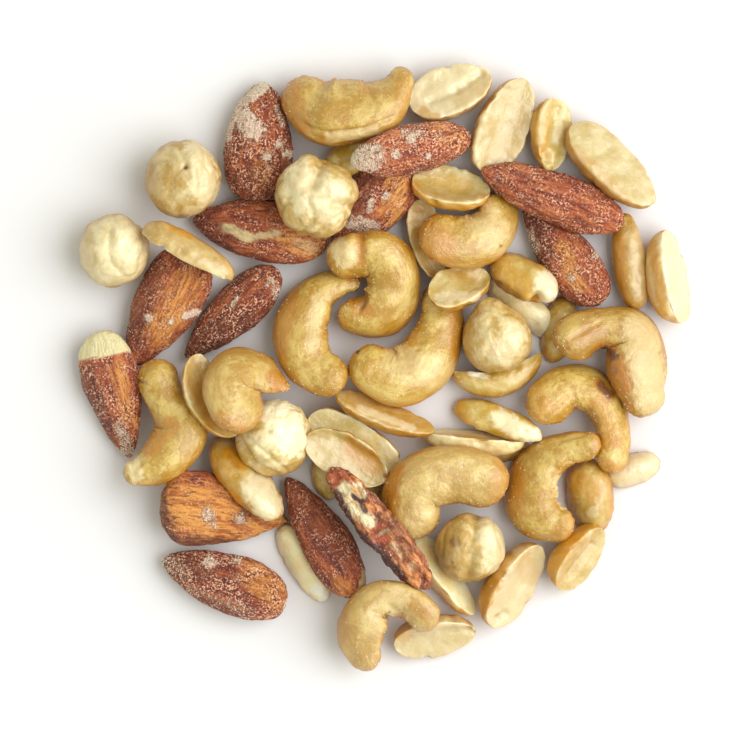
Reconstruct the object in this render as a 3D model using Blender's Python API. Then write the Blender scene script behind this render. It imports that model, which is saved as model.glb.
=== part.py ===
"""A loose round heap of mixed nuts, as it lies on a flat surface: cashews, almonds in their skins, blanched hazelnuts,
halves of blanched peanuts and a piece of pecan. The nuts are laid one by one, each coming to rest on those under it,
and are then fused with a low core into one solid.

The layout is in millimetres, seen from above with +X to the right and +Y up; the meshes are made in metres.
"""

import math

import bmesh
import bpy
import numpy as np

# ---- driving dimensions ----
MM = 0.001                      # the layout's unit in metres
LAYOUT_MIDDLE = (0.34, 0.33)    # middle of the heap's outline in the layout, which the origin lies under
LIFT = 0.5                      # how far the lowest nuts stay above the underside

ALMOND_FLATNESS = 0.66          # thickness over width
ALMOND_THINNEST = 6.6
ALMOND_FULLNESS = 0.9           # the lower, the thicker an almond stays towards its ends
PEANUT_FLATNESS = 0.58
PEANUT_FACE_SINK = 0.24         # depth of the hollow in most peanut halves' flat faces, over their thickness
PEANUT_RIM = 0.24               # height of the rounded rim of that face, over its thickness
PEANUT_SEAT = 0.42              # where a peanut half's middle lies under its face, over its thickness
PEANUT_ENDS = 2.3               # the higher, the blunter its ends
PEANUT_RIM_REACH = 0.5          # the lower, the nearer to its edge the rim has its full height
PEANUT_SINK_REACH = 2.4         # the higher, the nearer to its middle line the hollow stays
PEANUT_DOME = (0.92, 0.8)       # the lower, the fuller its dome is across and along
CASHEW_FLATNESS = 0.88
CASHEW_LEAST_CROOK = 0.12       # radius of the crook inside the tightest cashew, over that of its middle line
BEND_REACH = 0.12               # share of a cashew's length over which its bend is evened out
LEAST_BEND = 0.001
SPINE_STEPS = 81                # points at which a cashew's direction is taken
PECAN_LOBE = 0.10               # depth of the pecan's four long lobes, over its radius
PECAN_ENDS = 2.6
HAZELNUT_BUTT = 0.5             # the lower, the blunter its flat end

CORE_HEIGHTS = (2.4, 2.4, 3.0, 3.6)     # height of the core at its edge and at each step inward
CORE_STEPS = (1.0, 0.86, 0.62, 0.34)    # how far out each of those steps lies
CORE_SIDES = 26

# ---- how the nuts are laid ----
CELL = 0.5                      # side of a square of the map of heights
MAP_HALF = 60.0                 # the map reaches this far from the layout's middle
MAP_SIDE = int(2 * MAP_HALF / CELL)
CONTACT_BREADTH = 0.88          # a nut rests on its middle and not on its very edge
BITE = 0.6                      # how far a nut settles into those under it
FIRST_TILT = 0.1                # steps of slope that are tried, from the first to the last
LAST_TILT = 0.01
CONTACT_GRID = (48, 48)         # rings and sides of the fine form that is laid

# ---- facets of the solid: rings along a nut, sides round it ----
FACETS = {"almond": (7, 8), "peanut": (7, 8), "cashew": (11, 8), "hazelnut": (7, 8), "pecan": (9, 8)}
FULLNESS = 1.06                 # makes up for what flat facets cut off a round section
KIND_COLOURS = {
    "almond": (0.30, 0.12, 0.06, 1.0),
    "peanut": (0.72, 0.55, 0.28, 1.0),
    "cashew": (0.60, 0.38, 0.14, 1.0),
    "hazelnut": (0.72, 0.60, 0.35, 1.0),
    "pecan": (0.34, 0.17, 0.09, 1.0),
}
KINDS = tuple(KIND_COLOURS)
ROUGHNESS = 0.55


# ---- the nuts: where each lies and how large it is ----
def almond(tip, butt, width, thickness=None, point=0.80, blunt=0.45, lean=0.32):
    """An almond from its pointed tip to its round butt."""
    thickness = thickness or max(ALMOND_THINNEST, ALMOND_FLATNESS * width)
    return dict(kind="almond", ends=(tip, butt), width=width, thickness=thickness, point=point, blunt=blunt, lean=lean)


def peanut(start, end, width, roll, bow=0.0, taper=0.08, sink=PEANUT_FACE_SINK, lean=0.30, floor=False):
    """Half a peanut; roll 0 has its flat face up and 180 its dome, and a bowed one is bent to one side."""
    return dict(kind="peanut", ends=(start, end), width=width, thickness=PEANUT_FLATNESS * width, roll=roll, bow=bow,
                taper=taper, sink=sink, lean=lean, floor=floor)


def cashew(*spine, lean=0.32):
    """A cashew along a curved middle line, each of whose points gives its place and the body's radius there."""
    return dict(kind="cashew", spine=spine, lean=lean)


def hazelnut(middle, width, length, heading, rise, point=0.56, floor=True):
    """A hazelnut whose tip points to a heading and rises by an angle."""
    return dict(kind="hazelnut", middle=middle, width=width, length=length, heading=heading, rise=rise, point=point,
                lean=0.0, floor=floor)


def pecan(start, end, width, thickness, lean=0.30):
    """A lobed piece of pecan."""
    return dict(kind="pecan", ends=(start, end), width=width, thickness=thickness, lean=lean)


PILE = (
    almond((-32.3, 25.3), (-8.8, 22.0), 10.8, point=0.66),
    almond((-8.6, 19.8), (4.6, 35.0), 10.6),
    peanut((-9.3, 33.6), (0.6, 40.4), 6.2, roll=180),
    peanut((6.2, 28.8), (9.6, 15.4), 6.4, roll=-10, floor=True),
    almond((-42.5, 0.2), (-31.8, 19.8), 11.6, point=0.72, blunt=0.36),
    almond((-33.5, 1.8), (-17.6, 16.8), 8.4, point=0.74),
    almond((-43.0, -15.2), (-48.2, 6.4), 9.8, point=0.78, blunt=0.42),
    almond((24.2, 27.8), (37.6, 11.2), 9.6),
    peanut((12.4, -3.5), (28.0, 0.0), 5.8, roll=-110, bow=-2.4, lean=0.12),
    peanut((18.4, 15.2), (30.0, 5.6), 6.0, roll=160),
    peanut((31.6, 12.2), (29.0, 1.2), 6.0, roll=180, floor=True),
    peanut((50.0, 7.6), (47.2, 23.4), 8.2, roll=60, floor=True, sink=0.08),
    peanut((43.4, 10.0), (41.0, 26.4), 6.0, roll=140, floor=True),
    peanut((16.0, -14.2), (25.2, -13.4), 4.4, roll=180),
    peanut((7.2, -12.0), (24.4, -13.5), 5.6, roll=-75, lean=0.12),
    peanut((-12.2, -8.1), (3.1, -16.9), 7.5, roll=10),
    peanut((-9.8, -14.8), (-8.6, -22.4), 5.4, roll=180),
    peanut((-3.2, -19.4), (1.6, -26.0), 5.2, roll=180),
    peanut((38.2, -18.6), (47.6, -15.8), 5.6, roll=180),
    peanut((34.6, -15.4), (36.6, -28.2), 8.0, roll=180),
    peanut((2.1, -46.8), (16.0, -44.4), 7.6, roll=40),
    almond((-15.6, -25.9), (-37.5, -23.0), 12.6, point=0.90, blunt=0.34),
    hazelnut((-45.4, 20.2), 12.3, 12.6, heading=80, rise=-20),
    peanut((32.1, 41.2), (45.8, 27.8), 8.7, roll=-30, floor=True, sink=0.06),
    peanut((28.4, 34.0), (29.2, 46.0), 7.4, roll=35, taper=-0.14, floor=True),
    peanut((17.4, 33.5), (24.2, 49.4), 9.0, roll=20, floor=True, sink=0.3),
    peanut((4.9, 44.6), (18.6, 49.9), 8.9, roll=-20, floor=True),
    peanut((-7.9, -5.0), (8.9, -11.3), 5.2, roll=-40, bow=-0.5, sink=0.05, lean=0.12),
    cashew((-1.4, -0.1, 4.2), (2.8, -1.6, 4.9), (7.2, 0.9, 5.1), (9.6, 5.7, 4.3), (10.1, 11.6, 3.3)),
    hazelnut((19.5, 5.6), 11.9, 12.6, heading=103, rise=10, point=0.68),
    cashew((-5.4, 14.7, 1.7), (-10.1, 13.2, 3.4), (-13.8, 7.4, 4.7), (-12.8, 1.8, 4.5), (-9.6, -1.0, 3.8)),
    cashew((-38.0, -2.0, 3.6), (-36.6, -5.7, 3.4), (-34.1, -10.5, 4.5), (-37.0, -15.0, 4.2), (-42.1, -17.7, 2.1)),
    peanut((-28.6, -12.2), (-17.4, -25.4), 7.6, roll=180, lean=0.55),
    hazelnut((-18.3, -11.7), 13.0, 13.4, heading=40, rise=10),
    peanut((12.4, -6.2), (27.3, -11.4), 5.5, roll=140),
    cashew((28.6, -5.5, 4.1), (33.2, -3.0, 3.8), (37.1, -5.0, 3.7), (39.2, -9.4, 3.1), (39.4, -14.8, 2.9)),
    almond((-37.4, -32.6), (-16.2, -39.9), 10.3, point=0.64, blunt=0.42),
    peanut((-17.0, -26.8), (-9.6, -39.6), 5.8, roll=170),
    almond((-16.1, -18.5), (-4.0, -38.6), 8.7, point=0.72),
    peanut((5.6, -28.6), (15.6, -42.0), 5.6, roll=-40, sink=0.05, lean=0.12),
    hazelnut((15.0, -30.4), 11.6, 12.2, heading=100, rise=40),
    peanut((18.0, -43.4), (26.4, -29.8), 8.9, roll=45, floor=True, sink=0.2),
    peanut((29.5, -37.1), (36.7, -26.8), 8.2, roll=50, floor=True),
    cashew((-3.0, -48.7, 2.9), (-3.3, -44.1, 4.2), (-0.8, -39.5, 3.4), (3.5, -39.4, 3.0), (7.2, -41.9, 2.9)),
    peanut((8.1, 12.2), (18.5, 15.6), 7.3, roll=-25, taper=0.15, sink=0.3, lean=0.5),
    peanut((18.6, 18.0), (29.9, 12.6), 7.0, roll=180, lean=0.5),
    cashew((10.5, 22.2, 4.2), (14.4, 21.5, 4.6), (18.1, 23.0, 4.6), (19.8, 26.6, 3.6), lean=0.4),
    peanut((5.2, 31.9), (18.4, 29.6), 7.9, roll=-35, sink=0.42),
    cashew((33.2, 5.4, 4.1), (37.7, 6.9, 3.7), (42.6, 5.7, 4.6), (43.3, 0.8, 5.3), (44.6, -4.7, 3.7)),
    cashew((34.9, -13.2, 2.4), (30.3, -14.2, 3.2), (26.0, -18.6, 4.3), (25.9, -23.6, 4.7), (29.7, -26.6, 3.2)),
    almond((-20.2, 49.0), (-21.5, 28.5), 11.8, point=0.62, blunt=0.38),
    peanut((-40.2, 24.5), (-24.6, 16.0), 6.2, roll=100, lean=0.12),
    hazelnut((-33.7, 32.4), 13.2, 13.8, heading=60, rise=50),
    cashew((-12.5, 45.5, 4.5), (-9.6, 43.9, 5.8), (-5.4, 43.8, 5.6), (-0.6, 44.8, 4.9), (3.1, 48.9, 2.6)),
    hazelnut((-11.3, 29.4), 13.8, 14.0, heading=130, rise=30, floor=False),
    almond((-5.1, 35.0), (15.3, 39.5), 8.5, thickness=7.4, point=0.52, blunt=0.52),
    cashew((-5.7, 19.1, 3.7), (0.6, 18.4, 4.6), (2.1, 14.2, 4.6), (0.1, 9.9, 4.6), (-4.3, 8.9, 3.2)),
    almond((17.2, 33.8), (41.2, 24.8), 8.9, thickness=7.4, point=0.60, lean=0.4),
    peanut((-33.2, 1.7), (-26.4, -12.2), 6.6, roll=-20, bow=-1.4),
    cashew((-24.7, -6.4, 4.6), (-24.4, -1.3, 4.9), (-21.0, -0.9, 3.7), (-18.4, -2.1, 2.4), (-16.7, -3.0, 1.0), lean=0.6),
    peanut((-12.6, -11.5), (0.9, -18.8), 7.8, roll=5, sink=0.3, lean=0.4),
    cashew((5.2, -24.4, 4.8), (6.0, -20.3, 5.3), (9.9, -18.3, 5.1), (14.0, -18.1, 4.9), (17.1, -19.0, 4.6)),
    pecan((-8.9, -16.8), (8.1, -37.4), 7.2, 6.4),
)


# ---- the form of each kind, along its own +X, as rings of points ----
def rings_and_sides(rings, sides):
    """Stations from 0 to 1 along a nut, closer near its ends, and the angles round it."""
    along = (1 - np.cos(np.linspace(0, math.pi, rings + 1))) / 2
    around = np.linspace(0, 2 * math.pi, sides, endpoint=False)
    return along[:, None], around[None, :]


def points(x, y, z):
    """Rings of points from coordinates that may vary along the nut, round it, or both."""
    return np.stack(np.broadcast_arrays(x, y, z), -1)


def drop(along, point, blunt):
    """Half-breadth of a drop, 1 at its widest; a larger exponent makes that end more pointed."""
    widest = point / (point + blunt)
    return (along / widest) ** point * ((1 - along) / (1 - widest)) ** blunt


def almond_form(nut, rings, sides, breadth):
    along, around = rings_and_sides(rings, sides)
    half = drop(along, nut["point"], nut["blunt"])
    x = (along - 0.5) * length(nut)
    return points(x, breadth * nut["width"] / 2 * half * np.cos(around),
                  breadth * nut["thickness"] / 2 * half ** ALMOND_FULLNESS * np.sin(around))


def peanut_form(nut, rings, sides, breadth):
    along, around = rings_and_sides(rings, sides)
    place = 2 * along - 1
    half = np.sqrt(np.clip(1 - np.abs(place) ** PEANUT_ENDS, 0, 1)) * (1 - nut["taper"] * place)
    up = np.clip(np.sin(around), 0, 1)
    down = np.clip(-np.sin(around), 0, 1)
    face = PEANUT_RIM * up ** PEANUT_RIM_REACH - nut["sink"] * up ** PEANUT_SINK_REACH
    across, endwise = PEANUT_DOME
    z = nut["thickness"] * (face * half - down ** across * half ** endwise + PEANUT_SEAT)
    return points(place * length(nut) / 2, breadth * nut["width"] / 2 * half * np.cos(around), z)


def pecan_form(nut, rings, sides, breadth):
    along, around = rings_and_sides(rings, sides)
    place = 2 * along - 1
    half = np.sqrt(np.clip(1 - np.abs(place) ** PECAN_ENDS, 0, 1)) * (1 - PECAN_LOBE * np.cos(4 * around))
    return points(place * length(nut) / 2, breadth * nut["width"] / 2 * half * np.cos(around),
                  breadth * nut["thickness"] / 2 * half * np.sin(around))


def hazelnut_form(nut, rings, sides, breadth):
    along, around = rings_and_sides(rings, sides)
    half = breadth * nut["width"] / 2 * drop(along, nut["point"], HAZELNUT_BUTT)
    return points((0.5 - along) * nut["length"], -half * np.cos(around), half * np.sin(around))


# ---- cashews: a tube along a curved middle line ----
def spine_along(nut, share):
    """The place of the middle line and the body's radius at shares of its length, and that length."""
    knots = np.array(nut["spine"], float)
    steps = np.linalg.norm(np.diff(knots[:, :2], axis=0), axis=1)
    reached = np.concatenate([[0.0], np.cumsum(steps)])
    slopes = np.gradient(knots, reached, axis=0, edge_order=2)
    place = share * reached[-1]
    part = np.clip(np.searchsorted(reached, place, side="right") - 1, 0, len(steps) - 1)
    gap = steps[part][..., None]
    t = (place - reached[part])[..., None] / gap
    at = (knots[part] * (2 * t ** 3 - 3 * t ** 2 + 1) + knots[part + 1] * (3 * t ** 2 - 2 * t ** 3)
          + gap * (slopes[part] * (t ** 3 - 2 * t ** 2 + t) + slopes[part + 1] * (t ** 3 - t ** 2)))
    return at[..., 0], at[..., 1], at[..., 2], reached[-1]


def bends_along(nut, share):
    """The middle line's direction at shares of its length, how sharply it bends there, and to which side."""
    fine = np.linspace(0, 1, SPINE_STEPS)
    x, y, _, arc = spine_along(nut, fine)
    direction = np.unwrap(np.arctan2(np.gradient(y), np.gradient(x)))
    sense = math.copysign(1, direction[-1] - direction[0])
    ahead = np.interp(share + BEND_REACH, fine, direction)
    behind = np.interp(share - BEND_REACH, fine, direction)
    return np.interp(share, fine, direction), sense * (ahead - behind) / (2 * BEND_REACH * arc), sense


def cashew_tube(nut, rings, sides):
    """How far each ring lies along the middle line and past its ends, and the ring's radius."""
    first, last = nut["spine"][0][2], nut["spine"][-1][2]
    arc = spine_along(nut, np.zeros(1))[3]
    travelled = rings_and_sides(rings, sides)[0] * (first + arc + last) - first
    share = np.clip(travelled / arc, 0, 1)
    before = np.clip(-travelled / first, 0, 1)
    beyond = np.clip((travelled - arc) / last, 0, 1)
    radius = spine_along(nut, share)[2] * np.sqrt(1 - before ** 2) * np.sqrt(1 - beyond ** 2)
    return travelled, share, beyond * last - before * first, radius


def cashew_form(nut, rings, sides, breadth):
    """A tube whose crook never folds over itself, its two ends round caps."""
    around = rings_and_sides(rings, sides)[1]
    _, share, past, radius = cashew_tube(nut, rings, sides)
    x, y, _, _ = spine_along(nut, share)
    direction, bend, sense = bends_along(nut, share)
    inmost = (CASHEW_LEAST_CROOK - 1) / np.maximum(bend, LEAST_BEND)
    out = sense * np.maximum(breadth * radius * np.cos(around), inmost)
    middle_x, middle_y = plan_middle(nut)
    return points(x - middle_x + out * np.sin(direction) + past * np.cos(direction),
                  y - middle_y - out * np.cos(direction) + past * np.sin(direction),
                  -sense * CASHEW_FLATNESS * radius * np.sin(around))


FORMS = {"almond": almond_form, "peanut": peanut_form, "cashew": cashew_form, "hazelnut": hazelnut_form,
         "pecan": pecan_form}


# ---- laying the nuts ----
def length(nut):
    return math.dist(*nut["ends"])


def plan_middle(nut):
    """The point of the layout that a nut's form is placed over."""
    if nut["kind"] == "hazelnut":
        return nut["middle"]
    return np.mean([point[:2] for point in nut.get("spine") or nut["ends"]], axis=0)


def heading(nut):
    """The angle that a nut's length makes with +X; a cashew's middle line is already in place."""
    if nut["kind"] == "cashew":
        return 0.0
    if nut["kind"] == "hazelnut":
        return math.radians(nut["heading"])
    (start_x, start_y), (end_x, end_y) = nut["ends"]
    return math.atan2(end_y - start_y, end_x - start_x)


def turned(nut, form):
    """The form rolled, raised, bowed and turned to its heading, its outline centred across its length."""
    roll = math.radians(nut.get("roll", 0.0))
    rise = math.radians(nut.get("rise", 0.0))
    x, y, z = form[..., 0], form[..., 1], form[..., 2]
    y, z = y * math.cos(roll) - z * math.sin(roll), y * math.sin(roll) + z * math.cos(roll)
    x, z = x * math.cos(rise) - z * math.sin(rise), x * math.sin(rise) + z * math.cos(rise)
    if nut.get("bow"):
        y = y + nut["bow"] * (0.5 - (2 * x / length(nut)) ** 2)
    if nut["kind"] != "cashew":
        y = y - (y.max() + y.min()) / 2
    angle = heading(nut)
    return points(x * math.cos(angle) - y * math.sin(angle), x * math.sin(angle) + y * math.cos(angle), z)


def fine_form(nut, breadth):
    """The nut's form for laying, slimmed by breadth."""
    if nut["kind"] == "cashew":
        return turned(nut, cashew_form(nut, *CONTACT_GRID, breadth))
    return turned(nut, FORMS[nut["kind"]](nut, *CONTACT_GRID, 1.0)) * (breadth, breadth, 1.0)


def sloped(form, slope):
    """A form tipped by a slope along X and Y, which leaves its outline from above as it is."""
    return form + points(0, 0, form[..., 0] * slope[0] + form[..., 1] * slope[1])


def squares_under(nut, form):
    """The map's squares that the points of a form lie over."""
    place = ((form[..., :2] + plan_middle(nut) + MAP_HALF) / CELL).astype(int)
    return place[..., 0], place[..., 1]


def lowest_rest(nut, ground):
    """The slope, within the nut's freedom to lean, at which it comes to rest lowest, and its height there."""
    form = fine_form(nut, CONTACT_BREADTH)
    under = ground[squares_under(nut, form)]

    def rest(slope):
        return float(np.max(under - sloped(form, slope)[..., 2]))

    slope = (0.0, 0.0)
    height = rest(slope)
    step = FIRST_TILT if nut["lean"] > 0 else 0.0
    while step > LAST_TILT:
        lower = False
        for x, y in ((1, 0), (-1, 0), (0, 1), (0, -1), (1, 1), (-1, -1), (1, -1), (-1, 1)):
            trial = (slope[0] + step * x, slope[1] + step * y)
            if math.hypot(*trial) <= nut["lean"] and rest(trial) < height - 0.0001:
                slope = trial
                height = rest(trial)
                lower = True
        if not lower:
            step /= 2
    return slope, height


def lay(pile):
    """Lays the nuts in order; gives the slope and the height of each."""
    ground = np.zeros((MAP_SIDE, MAP_SIDE))
    rests = []
    for nut in pile:
        slope = (0.0, 0.0)
        height = 0.0
        if not nut.get("floor"):
            slope, height = lowest_rest(nut, ground)
        form = sloped(fine_form(nut, 1.0), slope)
        height = max(height - BITE, -form[..., 2].min())
        if nut.get("floor"):
            height = -form[..., 2].min()
        np.maximum.at(ground, squares_under(nut, form), form[..., 2] + height)
        rests.append((slope, height))
    return rests


# ---- the solids ----
def in_place(nut, rest, rings, sides, breadth):
    """The nut's points where it lies in the heap, in millimetres from the heap's origin."""
    slope, height = rest
    form = sloped(turned(nut, FORMS[nut["kind"]](nut, rings, sides, breadth)), slope)
    x, y = np.subtract(plan_middle(nut), LAYOUT_MIDDLE)
    return form + (x, y, height + LIFT)


def add_shell(bm, form, kind):
    """A closed skin over rings of points, whose first and last ring are each one point."""
    sides = form.shape[1]
    first = bm.verts.new(form[0, 0] * MM)
    last = bm.verts.new(form[-1, 0] * MM)
    rings = [[bm.verts.new(point * MM) for point in ring] for ring in form[1:-1]]
    for i in range(sides):
        j = (i + 1) % sides
        faces = [(first, rings[0][j], rings[0][i]), (last, rings[-1][i], rings[-1][j])]
        for near, far in zip(rings, rings[1:]):
            faces.append((near[i], near[j], far[j]))
            faces.append((near[i], far[j], far[i]))
        for corners in faces:
            bm.faces.new(corners).material_index = KINDS.index(kind)


def kind_material(kind):
    material = bpy.data.materials.new(kind)
    material.use_nodes = True
    shader = material.node_tree.nodes["Principled BSDF"]
    shader.inputs["Base Color"].default_value = KIND_COLOURS[kind]
    shader.inputs["Roughness"].default_value = ROUGHNESS
    shader.inputs["Metallic"].default_value = 0.0
    return material


def new_object(name, bm, materials):
    """An object whose mesh is the bmesh, with all its faces pointing out."""
    bmesh.ops.recalc_face_normals(bm, faces=bm.faces)
    mesh = bpy.data.meshes.new(name)
    bm.to_mesh(mesh)
    bm.free()
    for material in materials:
        mesh.materials.append(material)
    thing = bpy.data.objects.new(name, mesh)
    bpy.context.scene.collection.objects.link(thing)
    return thing


def core_edge(pile):
    """The core's outline: in each of its sectors, the middle of the outermost nut."""
    middles = [np.subtract(plan_middle(nut), LAYOUT_MIDDLE) for nut in pile]
    edge = []
    for side in range(CORE_SIDES):
        angle = 2 * math.pi * side / CORE_SIDES
        way = np.array((math.cos(angle), math.sin(angle)))
        edge.append(way * max(float(middle @ way) for middle in middles))
    return np.array(edge)


def core_mesh(pile):
    """A low mound with a flat underside, which all the nuts are fused to."""
    edge = core_edge(pile)
    bm = bmesh.new()
    rings = [[bm.verts.new((x * MM, y * MM, 0.0)) for x, y in edge]]
    for share, height in zip(CORE_STEPS, CORE_HEIGHTS):
        rings.append([bm.verts.new((x * share * MM, y * share * MM, height * MM)) for x, y in edge])
    bm.faces.new(reversed(rings[0]))
    bm.faces.new(rings[-1])
    for low, high in zip(rings, rings[1:]):
        for i in range(CORE_SIDES):
            j = (i + 1) % CORE_SIDES
            bm.faces.new((low[i], low[j], high[j], high[i]))
    return bm


def main():
    for thing in list(bpy.data.objects):
        bpy.data.objects.remove(thing, do_unlink=True)
    materials = [kind_material(kind) for kind in KINDS]
    shells = bmesh.new()
    for nut, rest in zip(PILE, lay(PILE)):
        add_shell(shells, in_place(nut, rest, *FACETS[nut["kind"]], FULLNESS), nut["kind"])
    nuts = new_object("nut_shells", shells, materials)
    nuts.hide_render = True
    nuts.display_type = "WIRE"
    heap = new_object("nut_heap", core_mesh(PILE), materials)
    fuse = heap.modifiers.new("fuse", "BOOLEAN")
    fuse.operation = "UNION"
    fuse.solver = "EXACT"
    fuse.use_self = True
    fuse.object = nuts


main()
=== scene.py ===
import itertools
import math

import bpy
import numpy as np
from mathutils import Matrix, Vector


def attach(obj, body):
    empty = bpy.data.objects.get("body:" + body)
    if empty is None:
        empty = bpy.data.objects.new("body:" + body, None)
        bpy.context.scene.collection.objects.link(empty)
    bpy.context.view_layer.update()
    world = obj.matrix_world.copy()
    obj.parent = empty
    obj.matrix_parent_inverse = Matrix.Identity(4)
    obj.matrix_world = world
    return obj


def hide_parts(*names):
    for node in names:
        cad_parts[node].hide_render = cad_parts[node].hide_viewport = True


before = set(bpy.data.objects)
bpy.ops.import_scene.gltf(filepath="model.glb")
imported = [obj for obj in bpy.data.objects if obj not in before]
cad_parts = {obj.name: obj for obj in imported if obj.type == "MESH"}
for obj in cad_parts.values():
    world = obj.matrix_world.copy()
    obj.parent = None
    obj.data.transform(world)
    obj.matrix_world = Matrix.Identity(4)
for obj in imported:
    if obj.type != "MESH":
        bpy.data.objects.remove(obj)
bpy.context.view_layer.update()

# A low round heap of loose mixed nuts. Each nut is laid on those under it, given the uneven surface of its
# kind and joined with the others of its kind in one mesh, whose material reads each nut's own values from it.

# ---- the heap's layout, in millimetres, seen from above with +X to the right and +Y up ----
MM = 0.001
LAYOUT_MIDDLE = (0.34, 0.33)    # middle of the heap's outline in the layout, which the origin lies under

ALMOND_FLATNESS = 0.66          # thickness over width
ALMOND_THINNEST = 6.6
ALMOND_FULLNESS = 0.9           # the lower, the thicker an almond stays towards its ends
PEANUT_FLATNESS = 0.58
PEANUT_FACE_SINK = 0.24         # depth of the hollow in most halves' flat faces, over their thickness
PEANUT_RIM = 0.24               # height of the rounded rim of that face, over its thickness
PEANUT_SEAT = 0.42              # where a peanut half's middle lies under its face, over its thickness
PEANUT_ENDS = 2.3               # the higher, the blunter its ends
PEANUT_RIM_REACH = 0.5          # the lower, the nearer to its edge the rim has its full height
PEANUT_SINK_REACH = 2.4         # the higher, the nearer to its middle line the hollow stays
PEANUT_DOME = (0.92, 0.8)       # the lower, the fuller its dome is across and along
CASHEW_FLATNESS = 0.88
CASHEW_LEAST_CROOK = 0.12       # radius of the crook inside the tightest cashew, over its middle line's
BEND_REACH = 0.12               # share of a cashew's length over which its bend is evened out
LEAST_BEND = 0.001
SPINE_STEPS = 81                # points at which a cashew's direction is taken
PECAN_LOBES = 4
PECAN_LOBE_DEPTH = 0.10         # depth of the pecan's long lobes, over its radius
PECAN_ENDS = 2.6
HAZELNUT_BUTT = 0.5             # the lower, the blunter its flat end

# ---- how the nuts are laid ----
CELL = 0.5                      # side of a square of the map of heights
MAP_HALF = 60.0                 # the map reaches this far from the layout's middle
MAP_SIDE = int(2 * MAP_HALF / CELL)
CONTACT_BREADTH = 0.88          # a nut rests on its middle and not on its very edge
BITE = 0.6                      # how far a nut settles into those under it
FIRST_TILT = 0.1                # steps of slope that are tried, from the first to the last
LAST_TILT = 0.01
LEAST_DROP = 0.0001             # a slope is kept if it lets the nut down by more than this
TILT_WAYS = ((1, 0), (-1, 0), (0, 1), (0, -1), (1, 1), (-1, -1), (1, -1), (-1, 1))
CONTACT_GRID = (48, 48)         # rings and sides of the fine form that is laid

# ---- rings along and sides round the skin of each kind ----
SKIN = {"almond": (72, 112), "peanut": (56, 54), "cashew": (104, 78), "hazelnut": (110, 124),
        "pecan": (130, 110)}

# ---- the uneven surface ----
TINY = 1e-9
NOISE_SEED = 7
GRADIENT_COUNT = 256
CELL_FACTORS = (73856093, 19349663, 83492791)    # primes that scatter the cells' gradients
NOISE_SWING = 1.6               # brings the noise to about -1 to 1
NOISE_APART = 31.7              # how far apart in the noise two nuts lie, so that no two are alike
NUDGE = 0.01                    # how far a point is moved to find which way its normal ends up
CRUMB_HEIGHT = 0.16             # how thick clinging powder is
RAGGED_EDGE = 0.9               # how far a mark's edge wanders, over how far it fades
CLEAN_EDGE = 0.25               # how far the edge of a bare patch fades
COLOUR_MARKS = ("powder", "pale", "warm", "dark")
HEIGHT_MARKS = {"groove": -1, "ridge": 1}


# ---- marks: what shows at one place of a nut ----
def mark(effect, start, end=None, width=1.0, strength=1.0, soft=None):
    """An effect along a stroke from start to end; soft is how far its edge fades."""
    return dict(effect=effect, start=start, end=end or start, width=width, strength=strength,
                soft=soft or width / 2)


def powder(start, end=None, width=1.0, strength=1.0):
    return mark("powder", start, end, width, strength)


def pale(start, end=None, width=1.0, strength=1.0):
    return mark("pale", start, end, width, strength)


def blanched(start, end, width):
    """Where the skin is off, up to a clean edge."""
    return mark("pale", start, end, width, soft=CLEAN_EDGE)


def warm(start, end=None, width=1.0, strength=1.0, soft=None):
    return mark("warm", start, end, width, strength, soft)


def dark(start, end=None, width=1.0, strength=1.0, soft=None):
    return mark("dark", start, end, width, strength, soft)


def groove(start, end=None, width=1.0, depth=0.5):
    return mark("groove", start, end, width, depth)


def ridge(start, end=None, width=1.0, height=0.5):
    return mark("ridge", start, end, width, height)


# ---- the nuts: where each lies, how large it is and how it looks ----
# Tone is how light a nut is beside others of its kind, dust how much fine salt clings to it, and furrows how
# deep its ridges are. Gold and toast are how far it is browned, with painted shade where it turns down, khaki
# how far it is browned at random, and its top highlight how much painted highlight its top gets.
def almond(tip, butt, width, thickness=None, point=0.80, blunt=0.45, lean=0.32, tone=0.0, dust=0.3,
           furrows=1.0, marks=()):
    """An almond from its pointed tip to its round butt."""
    thickness = thickness or max(ALMOND_THINNEST, ALMOND_FLATNESS * width)
    return dict(kind="almond", ends=(tip, butt), width=width, thickness=thickness, point=point, blunt=blunt,
                lean=lean, tone=tone, dust=dust, furrows=furrows, marks=marks)


def peanut(start, end, width, roll, bow=0.0, taper=0.08, sink=PEANUT_FACE_SINK, lean=0.30, floor=False,
           tone=0.0, gold_and_shade=0.5, top_highlight=0.0, marks=()):
    """Half a peanut; roll 0 has its flat face up and 180 its dome, and a bowed one is bent to one side."""
    return dict(kind="peanut", ends=(start, end), width=width, thickness=PEANUT_FLATNESS * width, roll=roll,
                bow=bow, taper=taper, sink=sink, lean=lean, floor=floor, tone=tone, gold_and_shade=gold_and_shade, top_highlight=top_highlight,
                marks=marks)


def cashew(*spine, lean=0.32, tone=0.0, toast_and_shade=0.3, top_highlight=0.0, marks=()):
    """A cashew along a middle line, each of whose points gives its place and the body's radius there."""
    return dict(kind="cashew", spine=spine, lean=lean, tone=tone, toast_and_shade=toast_and_shade, top_highlight=top_highlight, marks=marks)


def hazelnut(middle, width, length, heading, rise, point=0.56, floor=True, tone=0.0, lobes=0.3, khaki=0.3,
             top_highlight=0.0, marks=()):
    """A hazelnut whose tip points to a heading and rises by an angle."""
    return dict(kind="hazelnut", middle=middle, width=width, length=length, heading=heading, rise=rise,
                point=point, lean=0.0, floor=floor, tone=tone, lobes=lobes, khaki=khaki, top_highlight=top_highlight,
                marks=marks)


def pecan(start, end, width, thickness, lean=0.30, tone=0.0, marks=()):
    """A lobed piece of pecan."""
    return dict(kind="pecan", ends=(start, end), width=width, thickness=thickness, lean=lean, tone=tone,
                marks=marks)


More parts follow.
